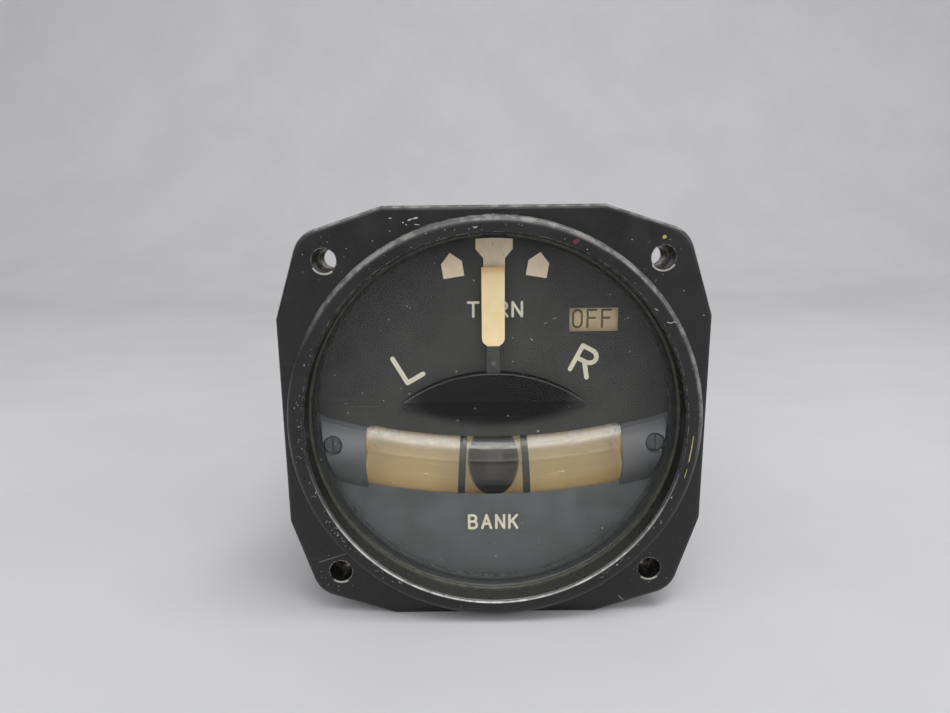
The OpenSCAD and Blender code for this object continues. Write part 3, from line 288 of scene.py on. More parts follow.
def finish(name, colour, deep, rough=(0.35, 0.5), metal=0.0, mottle=0.3, rub=None, dust=None, scratch=None,
           grain=(6.0, EVEN, 0.05), coat=0.0, shine=0.5, extra=None, worn=None):
    """A worn surface. rub is (width mm, amount, colour, roughness, metal), dust is (scale, size, cover,
    colour), scratch is (scale, amount, colour) and grain is (scale, stretch, height mm). extra paints places
    of its own, and worn adds to the amount of rub in places."""
    mat, tree, shader, mm = start_material(name)
    patch = place_group(tree, MOTTLE, (-1100, 300), Vector=mm, Scale=mottle)
    tone = blend_colour(tree, patch, linear(colour), linear(deep), (-800, 300))
    rough_now = ramp(tree, patch, 0.0, 1.0, rough[0], rough[1], (-800, 0), smooth=False)
    metal_now = metal
    if extra:
        tone = extra(tree, mm, tone)
    if scratch:
        line = place_group(tree, STREAKS, (-1100, -100), Vector=mm, Scale=scratch[0], Amount=scratch[1])
        tone = blend_colour(tree, line, tone, linear(scratch[2]), (-560, 200))
    if rub:
        amount = worn(tree, mm, rub[1]) if worn else rub[1]
        edge = place_group(tree, RUB, (-1100, -300), Vector=mm, Width=rub[0] * MM, Amount=amount)
        tone = blend_colour(tree, edge, tone, linear(rub[2]), (-380, 200))
        rough_now = ramp(tree, edge, 0.0, 1.0, rough_now, rub[3], (-380, 0), smooth=False)
        if rub[4] != metal:
            metal_now = ramp(tree, edge, 0.0, 1.0, metal, rub[4], (-380, -200), smooth=False)
    if dust:
        spot = place_group(tree, SPECKS, (-1100, -520), Vector=mm, Scale=dust[0], Size=dust[1],
                           Cover=dust[2])
        tone = blend_colour(tree, spot, tone, linear(dust[3]), (-200, 200))
        rough_now = ramp(tree, spot, 0.0, 1.0, rough_now, 0.8, (-200, 0), smooth=False)
    tree.links.new(tone, shader.inputs["Base Color"])
    tree.links.new(rough_now, shader.inputs["Roughness"])
    feed(tree, shader.inputs["Metallic"], metal_now)
    shader.inputs["Coat Weight"].default_value = coat
    shader.inputs["Specular IOR Level"].default_value = shine
    place = add_node(tree, "ShaderNodeMapping", (-1100, -760), {"Vector": mm})
    place.inputs["Scale"].default_value = grain[1]
    noise = add_node(tree, "ShaderNodeTexNoise", (-900, -760),
                     {"Vector": place.outputs[0], "Scale": grain[0], "Detail": 4.0})
    bump = add_node(tree, "ShaderNodeBump", (-200, -400), {"Height": noise.outputs["Fac"], "Strength": 1.0})
    bump.inputs["Distance"].default_value = grain[2] * MM
    tree.links.new(bump.outputs[0], shader.inputs["Normal"])
    return mat


def split(tree, mm):
    """The X, Y and Z of the place in millimetres."""
    node = add_node(tree, "ShaderNodeSeparateXYZ", (-1200, 700), {"Vector": mm})
    return node.outputs["X"], node.outputs["Y"], node.outputs["Z"]


def from_axis(tree, x, z, at):
    """Distance from a line along Y, of which x and z are measured."""
    flat = add_node(tree, "ShaderNodeCombineXYZ", at, {"X": x, "Z": z})
    beside = (at[0] + 160, at[1])
    node = add_node(tree, "ShaderNodeVectorMath", beside, {0: flat.outputs[0]}, operation="LENGTH")
    return node.outputs["Value"]


# Finishes with a pattern of their own, some with painted highlights and shade

def pointer_paint(tree, mm, tone):
    """Cream luminous paint on the blade only, turning darker and browner at its top end as a painted shadow
    of the ring; the stem and arm stay dark grey.
    """
    y, z = split(tree, mm)[1:]
    on_blade = ramp(tree, z, BLADE_FOOT_Z, BLADE_FOOT_Z + 0.1, at=(-1000, 700))
    in_front = ramp(tree, y, 6.0, 6.4, 1.0, 0.0, at=(-1000, 560))
    mask = maths(tree, "MULTIPLY", on_blade, in_front, (-820, 640))
    # Painted shadow of the ring: the blade turns darker and browner towards its top end.
    tip_shadow = ramp(tree, z, 27.6, 29.6, at=(-1000, 860))
    cream = blend_colour(tree, tip_shadow, tone, linear("#d9b276"), (-820, 800))
    return blend_colour(tree, mask, linear("#32342f"), cream, (-640, 640))


def mask_painted_sheen(tree, mm, tone):
    """The mask is paler on the upper part of the ridges beside the level, a painted highlight where they
    face the light, and it is also paler towards the bottom.
    """
    y, z = split(tree, mm)[1:]
    # Painted highlight on the upper part of the ridges beside the level.
    ridge = ramp(tree, y, MASK_Y - 1.6, MASK_Y - 0.1, 1.0, 0.0, at=(-820, 820))
    up = ramp(tree, z, -10.5, -4.0, at=(-820, 660))
    pale = blend_colour(tree, maths(tree, "MULTIPLY", ridge, up, (-640, 740)), tone, linear("#6a6d70"),
                        (-480, 700))
    foot = ramp(tree, z, -32.0, -18.0, 1.0, 0.0, at=(-640, 560))
    return blend_colour(tree, maths(tree, "MULTIPLY", foot, 0.6, (-480, 560)), pale, linear("#505253"),
                        (-320, 640))


def hood_painted_shade(tree, mm, tone):
    """Painted shade on the hood pressed out of the dial: near black and darker low on its face, with a
    painted shadow that fades into the dial below it and at its ends.
    """
    x, _, z = split(tree, mm)
    side = maths(tree, "MULTIPLY", x, 1 / 18.8, (-1000, 960))
    drop = ramp(tree, z, -5.2, 3.0, 1.3, 0.0, at=(-1000, 820), smooth=False)
    inside = ramp(tree, from_axis(tree, side, drop, (-820, 900)), 0.7, 1.08, 1.0, 0.0, at=(-480, 900))
    swing = from_axis(tree, x, maths(tree, "SUBTRACT", z, PIVOT_Z, (-1000, 680)), (-820, 680))
    under = ramp(tree, swing, ARCH_R - 0.02, ARCH_R + 0.05, 1.0, 0.0, at=(-480, 680))
    # Painted shade: the hood's face is darker lower down, where it faces away from the light.
    bend = ramp(tree, z, 3.0, 9.0, at=(-1000, 560))
    face = blend_colour(tree, bend, linear("#020202"), linear("#080807"), (-760, 540))
    return blend_colour(tree, maths(tree, "MULTIPLY", inside, under, (-300, 800)), tone, face, (-160, 700))


def bezel_places(tree, mm, tone):
    """Dull dark grey behind the glass, dust low in the bore, pale top edges on the ring and the flange that
    are partly worn paint and partly a painted highlight, and a painted highlight on the ring's low inner
    lip.
    """
    x, y, z = split(tree, mm)
    far = from_axis(tree, x, z, (-1600, 860))
    behind = maths(tree, "MULTIPLY", ramp(tree, far, BORE_R + 0.3, BORE_R + 0.4, 1.0, 0.0, at=(-1300, 860)),
                   ramp(tree, y, GLASS_BACK_Y - 0.1, GLASS_BACK_Y, at=(-1300, 720)), (-1100, 800))
    inside = blend_colour(tree, behind, tone, linear("#3c3e3f"), (-700, 760))
    bore = maths(tree, "MULTIPLY", ramp(tree, far, BORE_R + 0.1, BORE_R + 0.2, 0.4, 0.0, at=(-1300, 1100)),
                 ramp(tree, z, -30.0, -8.0, 1.0, 0.0, at=(-1300, 960)), (-1100, 1040))
    dusty = blend_colour(tree, bore, inside, linear("#4a4a46"), (-500, 900))
    # Partly worn paint, partly painted highlight: pale along the ring's outer edge at the top and down the
    # right side, and along the flange's top edges.
    ring = maths(tree, "MULTIPLY", ramp(tree, far, RING_R - 1.3, RING_R - 0.6, at=(-1300, 1400)),
                 ramp(tree, y, RING_Y + 1.0, RING_Y + 2.4, 1.0, 0.0, at=(-1300, 1260)), (-1100, 1340))
    right = maths(tree, "MULTIPLY", maths(tree, "MAXIMUM", x, 0.0, (-1600, 1500)), 0.6, (-1440, 1500))
    reach = maths(tree, "ADD", z, right, (-1300, 1560))
    high = maths(tree, "MULTIPLY", ring, ramp(tree, reach, 12.0, 32.0, at=(-1100, 1500)), (-900, 1400))
    aside = maths(tree, "MULTIPLY", maths(tree, "ABSOLUTE", x, 0.0, (-1600, 1700)), SLOPE_X, (-1440, 1700))
    slope = maths(tree, "ADD", aside, maths(tree, "MULTIPLY", z, SLOPE_Z, (-1440, 1860)), (-1300, 1760))
    edge = maths(tree, "MAXIMUM", ramp(tree, slope, SLOPE_D - 0.6, SLOPE_D - 0.2, at=(-1100, 1700)),
                 ramp(tree, z, FLANGE_HALF - 0.65, FLANGE_HALF - 0.25, at=(-1100, 1860)), (-900, 1760))
    front = maths(tree, "MULTIPLY", edge,
                  ramp(tree, y, FLANGE_Y + 0.9, FLANGE_Y + 1.4, 1.0, 0.0, at=(-900, 1900)), (-740, 1800))
    patch = place_group(tree, MOTTLE, (-1300, 2060), Vector=mm, Scale=0.4)
    broken = ramp(tree, patch, 0.2, 0.8, 0.3, 0.7, at=(-900, 2060))
    top = maths(tree, "MAXIMUM", high, front, (-560, 1600))
    worn_and_highlit = maths(tree, "MULTIPLY", top, broken, (-400, 1600))
    pale = blend_colour(tree, worn_and_highlit, dusty, linear("#8f8d8b"), (-240, 1000))
    # Painted highlight: a light line on the ring's inner lip low down, where its rounded edge faces the
    # light.
    lip = maths(tree, "MULTIPLY", ramp(tree, far, BORE_R + 0.4, BORE_R + 0.55, 1.0, 0.0, at=(-1300, 2300)),
                ramp(tree, y, RING_Y + 0.16, RING_Y + 0.24, 1.0, 0.0, at=(-1300, 2440)), (-1100, 2360))
    bright = maths(tree, "MULTIPLY", lip, ramp(tree, patch, 0.2, 0.8, 0.5, 1.0, at=(-900, 2200)),
                   (-740, 2300))
    low = maths(tree, "MULTIPLY", bright, ramp(tree, z, -30.0, -6.0, 0.9, 0.0, at=(-1100, 2500)),
                (-560, 2400))
    return blend_colour(tree, low, pale, linear("#c2c2c0"), (-120, 1200))


def ring_wear_and_highlight(tree, mm, amount):
    """The ring's inner front edge is worn to metal low down: partly wear, partly a painted highlight where
    the edge faces the light.
    """
    x, y, z = split(tree, mm)
    far = from_axis(tree, x, z, (-1500, -900))
    front = ramp(tree, y, RING_Y + 0.4, RING_Y + 0.8, 1.0, 0.0, at=(-1300, -1060))
    inner = maths(tree, "MULTIPLY", ramp(tree, far, BORE_R + 0.5, BORE_R + 0.9, 0.5, 0.0, at=(-1140, -900)),
                  ramp(tree, z, -24.0, -4.0, 1.0, 0.0, at=(-1140, -1060)), (-960, -960))
    return maths(tree, "ADD", maths(tree, "MULTIPLY", inner, front, (-800, -960)), amount, (-480, -960))


def black_front(tree, mm, tone):
    """Near black at the front, on what shows through the slit behind the hood, and the given tone further
    back.
    """
    y = split(tree, mm)[1]
    behind = ramp(tree, y, 23.75, 23.8, at=(-820, 660))
    return blend_colour(tree, behind, linear("#0c0c0c"), tone, (-640, 700))


def cradle_cream_and_shade(tree, mm, tone):
    """Cream only inside the trough, painted paler low down where less light reaches, with a painted shadow
    line at its foot; its lips are painted a shaded brown and its back is black.
    """
    x, y, z = split(tree, mm)
    out = from_axis(tree, x, maths(tree, "SUBTRACT", z, TUBE_ARC_Z, (-1200, 900)), (-1040, 900))
    drop = maths(tree, "SUBTRACT", out, TUBE_ARC_R, (-760, 900))
    deep = maths(tree, "SUBTRACT", y, TUBE_Y, (-900, 760))
    reach = from_axis(tree, drop, deep, (-620, 860))
    # Painted light: the cream is paler low in the trough, where less light reaches.
    low = ramp(tree, drop, 0.0, 7.4, at=(-620, 660))
    inside = blend_colour(tree, low, tone, linear("#fbe6bc"), (-480, 700))
    # Painted shadow: a dark line at the foot of the trough.
    foot = ramp(tree, drop, 6.4, 7.2, at=(-620, 380))
    inside = blend_colour(tree, foot, inside, linear("#2e2618"), (-320, 460))
    skin = ramp(tree, reach, TUBE_R + 0.2, TUBE_R + 0.3, at=(-360, 860))
    # Painted shade: the lips are brown; the back is black.
    lip = ramp(tree, deep, 0.25, 0.35, at=(-360, 660))
    rim = blend_colour(tree, lip, linear("#7d5c39"), linear("#121212"), (-240, 760))
    return blend_colour(tree, skin, inside, rim, (-120, 800))


def clear_glass(name, ior, tint, rough, glint=1.0):
    """Glass with faint smears in its polish."""
    mat, tree, shader, mm = start_material(name)
    shader.inputs["Base Color"].default_value = linear(tint)
    shader.inputs["Transmission Weight"].default_value = 1.0
    shader.inputs["IOR"].default_value = ior
    shader.inputs["Specular Tint"].default_value = (glint, glint, glint, 1.0)
    patch = place_group(tree, MOTTLE, (-1000, 0), Vector=mm, Scale=0.12)
    tree.links.new(ramp(tree, patch, 0.0, 1.0, rough[0], rough[1], (-700, 0)), shader.inputs["Roughness"])
    return mat


def dust_film(name):
    """A thin film of dust and crumbs on the cover glass: clear almost everywhere."""
    mat, tree, shader, mm = start_material(name)
    shader.inputs["Roughness"].default_value = 0.9
    tone = place_group(tree, MOTTLE, (-1100, 300), Vector=mm, Scale=0.2)
    tree.links.new(blend_colour(tree, tone, linear("#a9aba9"), linear("#8c8f8e"), (-700, 300)),
                   shader.inputs["Base Color"])
    crumbs = place_group(tree, SPECKS, (-1100, 0), Vector=mm, Scale=0.55, Size=0.16, Cover=0.25)
    fine = place_group(tree, SPECKS, (-1100, -200), Vector=mm, Scale=1.6, Size=0.16, Cover=0.3)
    smear = place_group(tree, STREAKS, (-1100, -400), Vector=mm, Scale=1.2, Amount=0.05)
    z = split(tree, mm)[2]
    low = ramp(tree, z, -36.0, 6.0, 0.014, 0.005, (-820, -600))
    haze = maths(tree, "MULTIPLY", low, ramp(tree, tone, 0.0, 1.0, 0.6, 1.3, (-820, -780)), (-640, -600))
    spots = maths(tree, "MAXIMUM", maths(tree, "MULTIPLY", crumbs, 0.55, (-820, 0)),
                  maths(tree, "MULTIPLY", fine, 0.22, (-820, -200)), (-640, -100))
    alpha = maths(tree, "ADD", maths(tree, "ADD", spots, smear, (-460, -200)), haze, (-300, -300),
                  clamp=True)
    tree.links.new(alpha, shader.inputs["Alpha"])
    return mat


def tube_highlight_film(name):
    """A painted highlight along the top of the level: a pale film, strongest just below the top and weaker
    over the ball.
    """
    mat, tree, shader, mm = start_material(name)
    shader.inputs["Roughness"].default_value = 0.6
    x, _, z = split(tree, mm)
    tone = place_group(tree, MOTTLE, (-1100, 300), Vector=mm, Scale=0.3)
    tree.links.new(blend_colour(tree, tone, linear("#f4f2ee"), linear("#e4e2de"), (-700, 300)),
                   shader.inputs["Base Color"])
    far = from_axis(tree, x, maths(tree, "SUBTRACT", z, TUBE_ARC_Z, (-1100, 0)), (-940, 0))
    up = maths(tree, "SUBTRACT", TUBE_ARC_R, far, (-620, 0))
    film = maths(tree, "MULTIPLY", ramp(tree, up, 3.2, 5.9, 0.0, 0.26, at=(-460, 60)),
                 ramp(tree, up, 6.3, 7.4, 1.0, 0.3, at=(-460, -120)), (-280, 0))
    wide = maths(tree, "ABSOLUTE", x, 0.0, (-620, -420))
    patchy = maths(tree, "MULTIPLY", ramp(tree, tone, 0.0, 1.0, 0.8, 1.2, (-460, -300)),
                   ramp(tree, wide, 6.0, 7.5, 0.2, 1.0, (-460, -460)), (-280, -360))
    tree.links.new(maths(tree, "MULTIPLY", film, patchy, (-140, -60)), shader.inputs["Alpha"])
    return mat


BRIGHT = "#b9b5ae"
FINISHES = {
    "black_enamel": finish("black_enamel", "#0e0d0f", "#131212", (0.24, 0.38), mottle=0.16,
                           grain=(2.2, EVEN, 0.02), rub=(0.45, 0.56, BRIGHT, 0.32, 1.0),
                           dust=(0.9, 0.16, 0.32, "#8d8b86"), scratch=(0.7, 0.35, "#4a4846"),
                           extra=bezel_places, worn=ring_wear_and_highlight),
    "case_enamel": finish("case_enamel", "#19191b", "#222122", (0.42, 0.6), mottle=0.1,
                          grain=(3.0, EVEN, 0.06), rub=(0.6, 0.5, BRIGHT, 0.35, 1.0),
                          dust=(0.8, 0.14, 0.15, "#77756f"), scratch=(0.5, 0.3, "#4c4a48")),
    "plated_steel": finish("plated_steel", "#9a958a", "#6f6a60", (0.28, 0.5), metal=1.0, mottle=0.6,
                           rub=(0.25, 0.5, "#d2cec4", 0.22, 1.0), grain=(9.0, (1, 0.2, 1), 0.02)),
    "cover_glass": clear_glass("cover_glass", 1.25, "#ffffff", (0.0, 0.03), 0.6),
    "seal_rubber": finish("seal_rubber", "#393b3b", "#333534", (0.6, 0.8), mottle=0.5,
                          dust=(1.2, 0.2, 0.12, "#5f605a"), grain=(8.0, EVEN, 0.04)),
    "spring_wire": finish("spring_wire", "#4a4a40", "#3c3c34", (0.45, 0.6), metal=0.4, mottle=0.7,
                          dust=(2.0, 0.2, 0.2, "#6f6d5c"), grain=(12.0, EVEN, 0.01)),
    "dial_black": finish("dial_black", "#3e3e3c", "#444442", (0.55, 0.7), mottle=0.12,
                         dust=(1.3, 0.12, 0.18, "#6e6c66"), grain=(6.0, EVEN, 0.0005), shine=0.1,
                         extra=hood_painted_shade),
    "mask_black": finish("mask_black", "#464948", "#575a5b", (0.5, 0.66), mottle=0.14,
                         dust=(1.1, 0.14, 0.2, "#73746f"), grain=(6.0, EVEN, 0.004), extra=mask_painted_sheen),
    "blackened_steel": finish("blackened_steel", "#26262a", "#1d1d1f", (0.35, 0.5), metal=0.6, mottle=1.2,
                              rub=(0.15, 0.6, "#8f8d88", 0.35, 1.0), grain=(9.0, EVEN, 0.02)),
    "brass": finish("brass", "#b5985a", "#92763f", (0.28, 0.45), metal=1.0, mottle=0.5,
                    rub=(0.2, 0.5, "#d9c184", 0.2, 1.0), grain=(9.0, (0.15, 1, 1), 0.02)),
    "tube_glass": clear_glass("tube_glass", 1.48, "#fffdf4", (0.0, 0.02)),
    "black_rubber": finish("black_rubber", "#242424", "#1b1b1b", (0.6, 0.78), mottle=0.7,
                           grain=(9.0, EVEN, 0.05), dust=(1.5, 0.2, 0.2, "#6c6a66")),
    "ball_black": finish("ball_black", "#0b0b0b", "#0f0f0e", (0.16, 0.24), mottle=0.5,
                         grain=(4.0, EVEN, 0.004), shine=0.3),
    "band_metal": finish("band_metal", "#42423e", "#383835", (0.26, 0.4), metal=0.3, mottle=0.9,
                         grain=(10.0, EVEN, 0.01)),
    "cradle_cream": finish("cradle_cream", "#fde8b8", "#f9e0aa", (0.5, 0.66), mottle=0.16,
                           grain=(5.0, EVEN, 0.03), dust=(1.0, 0.14, 0.15, "#a58b5c"),
                           extra=cradle_cream_and_shade),
    "pointer_cream": finish("pointer_cream", "#fae3b2", "#f5dba5", (0.55, 0.7), mottle=0.25,
                            grain=(7.0, EVEN, 0.02), extra=pointer_paint),
    "bright_steel": finish("bright_steel", "#aeadaa", "#8f8e8b", (0.18, 0.32), metal=1.0, mottle=0.8,
                           rub=(0.15, 0.5, "#dddcd8", 0.15, 1.0), grain=(12.0, (1, 0.2, 1), 0.008)),
    "frame_aluminium": finish("frame_aluminium", "#a9aaab", "#909193", (0.36, 0.5), metal=1.0, mottle=0.2,
                              scratch=(0.8, 0.3, "#cfcfd0"), rub=(0.25, 0.45, "#d6d6d6", 0.25, 1.0),
                              grain=(7.0, (0.1, 1, 1), 0.015)),
    "gimbal_aluminium": finish("gimbal_aluminium", "#9c9da0", "#86878b", (0.4, 0.55), metal=1.0,
                               mottle=0.25, rub=(0.3, 0.45, "#d0d0d2", 0.28, 1.0),
                               grain=(5.0, EVEN, 0.03)),
    "stator_iron": finish("stator_iron", "#4c4d50", "#3c3c3f", (0.4, 0.55), metal=0.9, mottle=0.6,
                          grain=(7.0, (3.0, 0.2, 0.2), 0.06)),
    "copper_wire": finish("copper_wire", "#a8572f", "#7d3c1f", (0.25, 0.4), metal=0.7, mottle=0.8,
                          grain=(9.0, (1.6, 0.4, 0.4), 0.12), coat=0.5),
    "rotor_bronze": finish("rotor_bronze", "#a48454", "#8a6c41", (0.26, 0.4), metal=1.0, mottle=0.3,
                           rub=(0.3, 0.5, "#cdb286", 0.2, 1.0), grain=(8.0, (1.5, 0.1, 0.1), 0.02)),
    "flag_cream": finish("flag_cream", "#dfcaa2", "#d0bb94", (0.5, 0.66), mottle=0.3,
                         dust=(1.4, 0.16, 0.15, "#86765a"), grain=(8.0, EVEN, 0.02)),
    "actuator_black": finish("actuator_black", "#2a2a2d", "#212124", (0.4, 0.55), mottle=0.5,
                             rub=(0.2, 0.4, "#85837e", 0.4, 0.6), grain=(8.0, EVEN, 0.03)),
    "connector_olive": finish("connector_olive", "#77745a", "#5f5d49", (0.36, 0.5), metal=0.75,
                              mottle=0.35, rub=(0.3, 0.52, "#b4b1a4", 0.3, 1.0),
                              dust=(1.2, 0.16, 0.15, "#9a9886"), grain=(6.0, EVEN, 0.02)),
    "connector_resin": finish("connector_resin", "#3a2c22", "#2e231c", (0.35, 0.5), mottle=0.5,
                              grain=(7.0, EVEN, 0.02)),
    "contact_brass": finish("contact_brass", "#c6a964", "#a88b48", (0.2, 0.34), metal=1.0, mottle=0.9,
                            rub=(0.15, 0.5, "#e2cc92", 0.16, 1.0), grain=(10.0, EVEN, 0.01)),
}
PRINT_WHITE = finish("dial_print", "#dcd9c2", "#cfcbb2", (0.55, 0.7), mottle=0.5,
                     grain=(12.0, EVEN, 0.01), dust=(2.2, 0.2, 0.2, "#8d8a7a"))
INDEX_CREAM = finish("index_print", "#f7e6c9", "#efdbb9", (0.55, 0.7), mottle=0.4,
                     grain=(9.0, EVEN, 0.015), dust=(1.8, 0.18, 0.15, "#7f725c"))
FLAG_INK = finish("flag_ink", "#5f5342", "#6d604b", (0.6, 0.75), mottle=0.7, grain=(9.0, EVEN, 0.01))
# Grey for the painted highlight on the hood's edge and for the scratch on the flange.
EDGE_LINE = finish("hood_edge", "#62625e", "#525250", (0.45, 0.6), mottle=0.4, grain=(9.0, EVEN, 0.01))
BARE_METAL = finish("bare_metal", "#c9c6c0", "#a8a49d", (0.25, 0.4), metal=0.7, mottle=0.9,
                    grain=(8.0, EVEN, 0.02))
PALE_CHIP = finish("pale_chip", "#b9b7b0", "#9b9992", (0.5, 0.7), mottle=0.9, grain=(8.0, EVEN, 0.02))
OLIVE_CHIP = finish("olive_chip", "#a9a463", "#8f8a52", (0.5, 0.7), mottle=0.9, grain=(8.0, EVEN, 0.02))
RED_CHIP = finish("red_chip", "#5a2026", "#431a1e", (0.4, 0.6), mottle=0.9, grain=(8.0, EVEN, 0.02))
LIQUID = clear_glass("damping_liquid", 1.43, "#fffaf0", (0.0, 0.01), 0.05)
DUST = dust_film("glass_dust")
TUBE_HIGHLIGHT = tube_highlight_film("tube_highlight")
BLACK_FRONT = finish("black_front", "#8f8f90", "#7b7b7c", (0.5, 0.62), mottle=0.3,
                     grain=(7.0, EVEN, 0.02), extra=black_front)
PLUG_CREAM = finish("plug_cream", "#b0935c", "#9f834f", (0.5, 0.66), mottle=0.3, grain=(7.0, EVEN, 0.03))
SCREW_GREY = finish("screw_grey", "#5d6062", "#4c4f50", (0.45, 0.6), mottle=0.6,
                    rub=(0.15, 0.4, "#7c7d7c", 0.4, 0.5), grain=(9.0, EVEN, 0.02))
OWN_FINISH = {"tube_end_plugs": PLUG_CREAM, "dial_screws": SCREW_GREY}
# Parts that are near black at the front, where they show through the slit behind the hood.
DARK_AT_FRONT = ("front_frame_plate", "gimbal_bearings", "pointer_bearings", "gimbal_pivots",
                 "pointer_staff", "front_frame_screws")


def dress(name, slot):
    """Give a solid of the frame its finish."""
    mesh = frame["nodes"][name].data
    mesh.materials.clear()
    mesh.materials.append(BLACK_FRONT if name in DARK_AT_FRONT else OWN_FINISH.get(name, FINISHES[slot]))


for row in frame["record"]["subparts"]:
    dress(row["node"], row["material_slot"])
for name in ("cover_glass", "inclinometer_tube"):
    frame["nodes"][name].visible_shadow = False
    frame["nodes"][name].visible_diffuse = False


# Mesh helpers: all points are in millimetres in the frame of the part

def add_piece(name, points, faces, body, material, smooth=False, shadow=True):
    """A piece of this script's own, which moves with a body of the part."""
    mesh = bpy.data.meshes.new(name)
    mesh.from_pydata([tuple(c * MM for c in p) for p in points], [], faces)
    mesh.validate()
    if smooth:
        mesh.shade_smooth()
    mesh.materials.append(material)
    obj = bpy.data.objects.new(name, mesh)
    bpy.context.scene.collection.objects.link(obj)
    obj.visible_shadow = shadow
    obj.visible_diffuse = shadow
    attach(obj, body)
    return obj


class Sheet:
    """Collects thin flat shapes that lie on a face that looks to -Y."""

    def __init__(self, y, thick):
        self.front = y - thick
        self.y1 = y + 0.005
        self.count = 0
        self.points = []
        self.faces = []

    def next_front(self):
        """Strokes that cross lie a hair apart, so that no two faces share a plane."""
        self.count += 1
        return self.front - 0.004 * (self.count % 4)

    def loop(self, outline):
        """A filled outline, given anticlockwise as seen from the front."""
        n = len(outline)
        k = len(self.points)
        y0 = self.next_front()
        self.points += [(x, y0, z) for x, z in outline] + [(x, self.y1, z) for x, z in outline]
        self.faces.append([k + i for i in range(n)])
        self.faces.append([k + n + i for i in reversed(range(n))])
        self.faces += [[k + i, k + n + i, k + n + (i + 1) % n, k + (i + 1) % n] for i in range(n)]

    def band(self, line, width, closed=False):
        """A stroke of even width along a line, with round ends or closed on itself."""
        half = width / 2
        n = len(line)
        left, right = [], []
        for i, (x, z) in enumerate(line):
            a = line[i - 1] if i or closed else None
            b = line[(i + 1) % n] if i < n - 1 or closed else None
            d0 = unit(x - a[0], z - a[1]) if a else None
            d1 = unit(b[0] - x, b[1] - z) if b else None
            d0, d1 = d0 or d1, d1 or d0
            mx, mz = unit(-d0[1] - d1[1], d0[0] + d1[0])
            reach = half / max(0.35, mx * -d1[1] + mz * d1[0])
            left.append((x + mx * reach, z + mz * reach))
            right.append((x - mx * reach, z - mz * reach))
        if closed:
            k = len(self.points)
            for ring in (left, right):
                for y in (self.front, self.y1):
                    self.points += [(x, y, z) for x, z in ring]
            for i in range(n):
                j = (i + 1) % n
                for a, b in ((1, 0), (0, 2), (2, 3), (3, 1)):
                    self.faces.append([k + a * n + i, k + b * n + i, k + b * n + j, k + a * n + j])
            return
        end = cap(line[-1], unit(line[-1][0] - line[-2][0], line[-1][1] - line[-2][1]), half)
        start = cap(line[0], unit(line[0][0] - line[1][0], line[0][1] - line[1][1]), half)
        self.loop(right + end + left[::-1] + start)

    def piece(self, name, body, material):
        """All the shapes collected so far, as one piece."""
        return add_piece(name, self.points, self.faces, body, material)


def unit(x, z):
    """A direction of length one."""
    n = math.hypot(x, z) or 1.0
    return x / n, z / n


def cap(at, way, r, steps=5):
    """The inner points of a half circle that closes the end of a stroke, from its right to its left."""
    base = math.atan2(way[1], way[0])
    angles = [base - math.pi / 2 + math.pi * i / steps for i in range(1, steps)]
    return [(at[0] + r * math.cos(a), at[1] + r * math.sin(a)) for a in angles]


def arc(cx, cz, rx, rz, a0, a1, steps=8):
    """Points on a part of an ellipse, between two angles in degrees."""
    angles = [math.radians(a0 + (a1 - a0) * i / steps) for i in range(steps + 1)]
    return [(cx + rx * math.cos(a), cz + rz * math.sin(a)) for a in angles]


# Plain round-ended letters, one unit tall: strokes, whether each closes on itself, and the width
LETTERS = {
    "T": ([([(0.0, 1.0), (0.66, 1.0)], False), ([(0.33, 1.0), (0.33, 0.0)], False)], 0.66),
    "U": ([([(0.0, 1.0)] + arc(0.29, 0.3, 0.29, 0.3, 180, 360) + [(0.58, 1.0)], False)], 0.58),
    "R": ([([(0.0, 0.0), (0.0, 1.0)], False),
           ([(0.0, 1.0)] + arc(0.34, 0.75, 0.24, 0.25, 90, -90) + [(0.0, 0.5)], False),
           ([(0.28, 0.5), (0.6, 0.0)], False)], 0.6),
    "N": ([([(0.0, 0.0), (0.0, 1.0)], False), ([(0.0, 1.0), (0.6, 0.0)], False),
           ([(0.6, 0.0), (0.6, 1.0)], False)], 0.6),
    "L": ([([(0.0, 1.0), (0.0, 0.0)], False), ([(0.0, 0.0), (0.6, 0.0)], False)], 0.6),
    "B": ([([(0.0, 0.0), (0.0, 1.0)], False),
           ([(0.0, 1.0)] + arc(0.32, 0.76, 0.22, 0.24, 90, -90) + [(0.0, 0.52)], False),
           ([(0.3, 0.52)] + arc(0.34, 0.26, 0.25, 0.26, 90, -90) + [(0.0, 0.0)], False)], 0.6),
    "A": ([([(0.0, 0.0), (0.34, 1.0)], False), ([(0.34, 1.0), (0.68, 0.0)], False),
           ([(0.13, 0.34), (0.55, 0.34)], False)], 0.68),
    "K": ([([(0.0, 0.0), (0.0, 1.0)], False), ([(0.58, 1.0), (0.02, 0.4)], False),
           ([(0.22, 0.6), (0.6, 0.0)], False)], 0.6),
    "O": ([(arc(0.25, 0.74, 0.25, 0.26, 0, 180) + arc(0.25, 0.26, 0.25, 0.26, 180, 360), True)], 0.5),
    "F": ([([(0.0, 0.0), (0.0, 1.0)], False), ([(0.0, 1.0), (0.5, 1.0)], False),
           ([(0.0, 0.54), (0.42, 0.54)], False)], 0.5),
}


